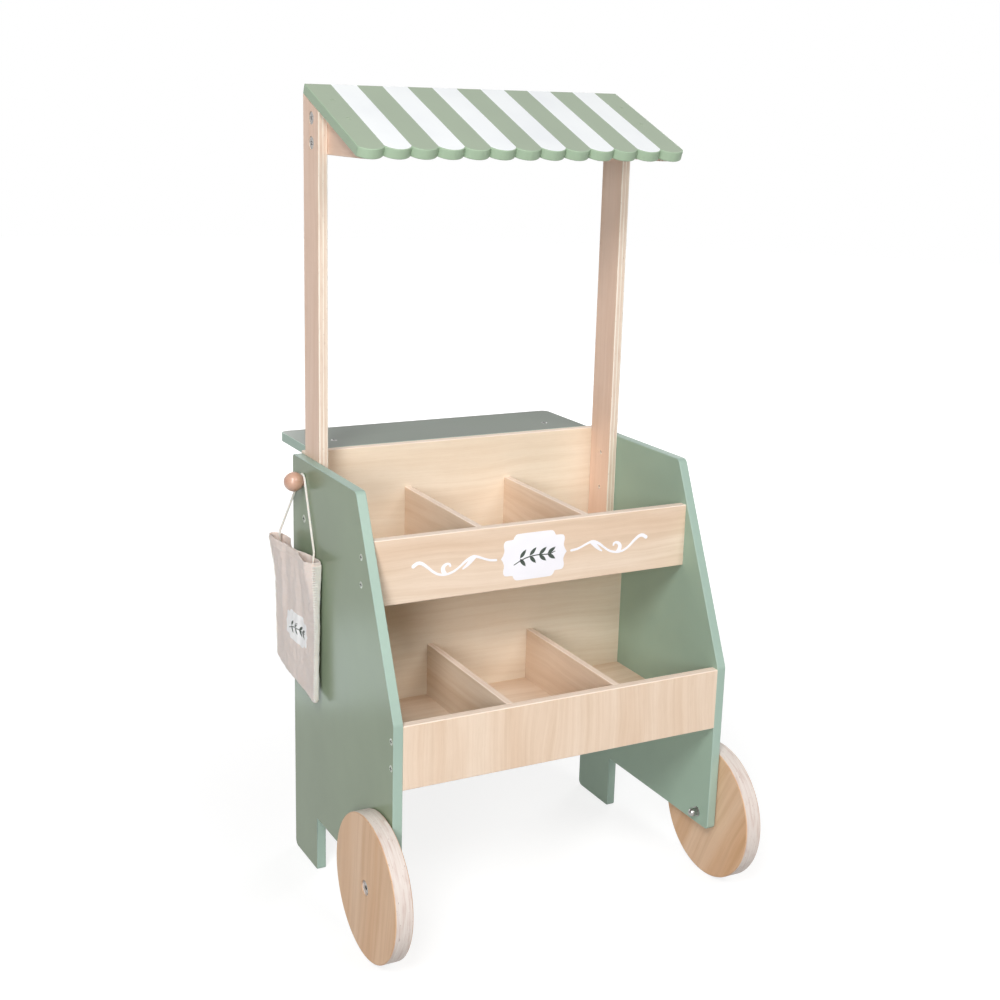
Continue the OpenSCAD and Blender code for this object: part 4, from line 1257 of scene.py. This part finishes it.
class STALL_OT_front_print(bpy.types.Operator):
    """Paint the plaque, its sprig and the flourishes on the upper front board"""
    bl_idname = "stall.front_print"
    bl_label = "Plaque and flourishes"

    def execute(self, context):
        colours, sizes = settings_of(context)
        low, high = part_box("upper_front_board")
        middle = Vector((-sizes.plaque_shift, low.y, (low.z + high.z) / 2 - PLAQUE_DROP * MM))
        white = finish("white print", paint, colours.front_white, roughness=0.5)

        def lay(bm, name, height, thickness, material):
            raised(bm, thickness)
            mesh = mesh_of(bm, name)
            mesh.transform(Matrix.Translation(middle - Y * height) @ Matrix.Rotation(math.pi / 2, 4, "X"))
            shade_smooth(mesh)
            piece(name, mesh, "stall", [material])

        lay(filled(plaque_outline(sizes.plaque_width, sizes.plaque_height)), "plaque", 0.0, sizes.film, white)
        lay(sprig(sizes.plaque_height * PLAQUE_SPRIG), "plaque_sprig", sizes.film, sizes.film / 2,
            finish("sprig ink", paint, colours.ink))
        for side, name in ((-1, "left_flourish"), (1, "right_flourish")):
            for part, stroke, share in FLOURISH_PARTS:
                shape = filled(ribbon([Vector((side * x, z, half)) * MM for x, z, half in stroke]))
                lay(shape, name + part, 0.0, sizes.film * share, white)
        return {"FINISHED"}


class STALL_PT_panel(bpy.types.Panel):
    """Lists the stall's pieces and settings"""
    bl_idname = "STALL_PT_panel"
    bl_label = "Toy market stall"
    bl_space_type = "VIEW_3D"
    bl_region_type = "UI"
    bl_category = "Stall"

    def draw(self, context):
        for operator in OPERATORS:
            self.layout.operator(operator.bl_idname)
        for group in (context.scene.stall_sizes, context.scene.stall_colours, context.scene.stall_stage):
            box = self.layout.box()
            for key in group.__annotations__:
                box.prop(group, key)


OPERATORS = (
    STALL_OT_stage, STALL_OT_bag_cord, STALL_OT_bag, STALL_OT_panels, STALL_OT_counter, STALL_OT_trays,
    STALL_OT_posts, STALL_OT_roof, STALL_OT_wheels, STALL_OT_fasteners, STALL_OT_front_print)
GROUPS = {"stall_colours": StallColours, "stall_sizes": StallSizes, "stall_stage": StallStage}


def register():
    for made in (*GROUPS.values(), *OPERATORS, STALL_PT_panel):
        bpy.utils.register_class(made)
    for name, group in GROUPS.items():
        setattr(bpy.types.Scene, name, PointerProperty(type=group))


def unregister():
    for name in GROUPS:
        delattr(bpy.types.Scene, name)
    for made in (STALL_PT_panel, *reversed(OPERATORS), *GROUPS.values()):
        bpy.utils.unregister_class(made)


def main():
    register()
    for operator in OPERATORS:
        group, name = operator.bl_idname.split(".")
        if getattr(getattr(bpy.ops, group), name)() != {"FINISHED"}:
            raise RuntimeError(operator.bl_label + " was not finished")


if __name__ == "__main__":
    main()
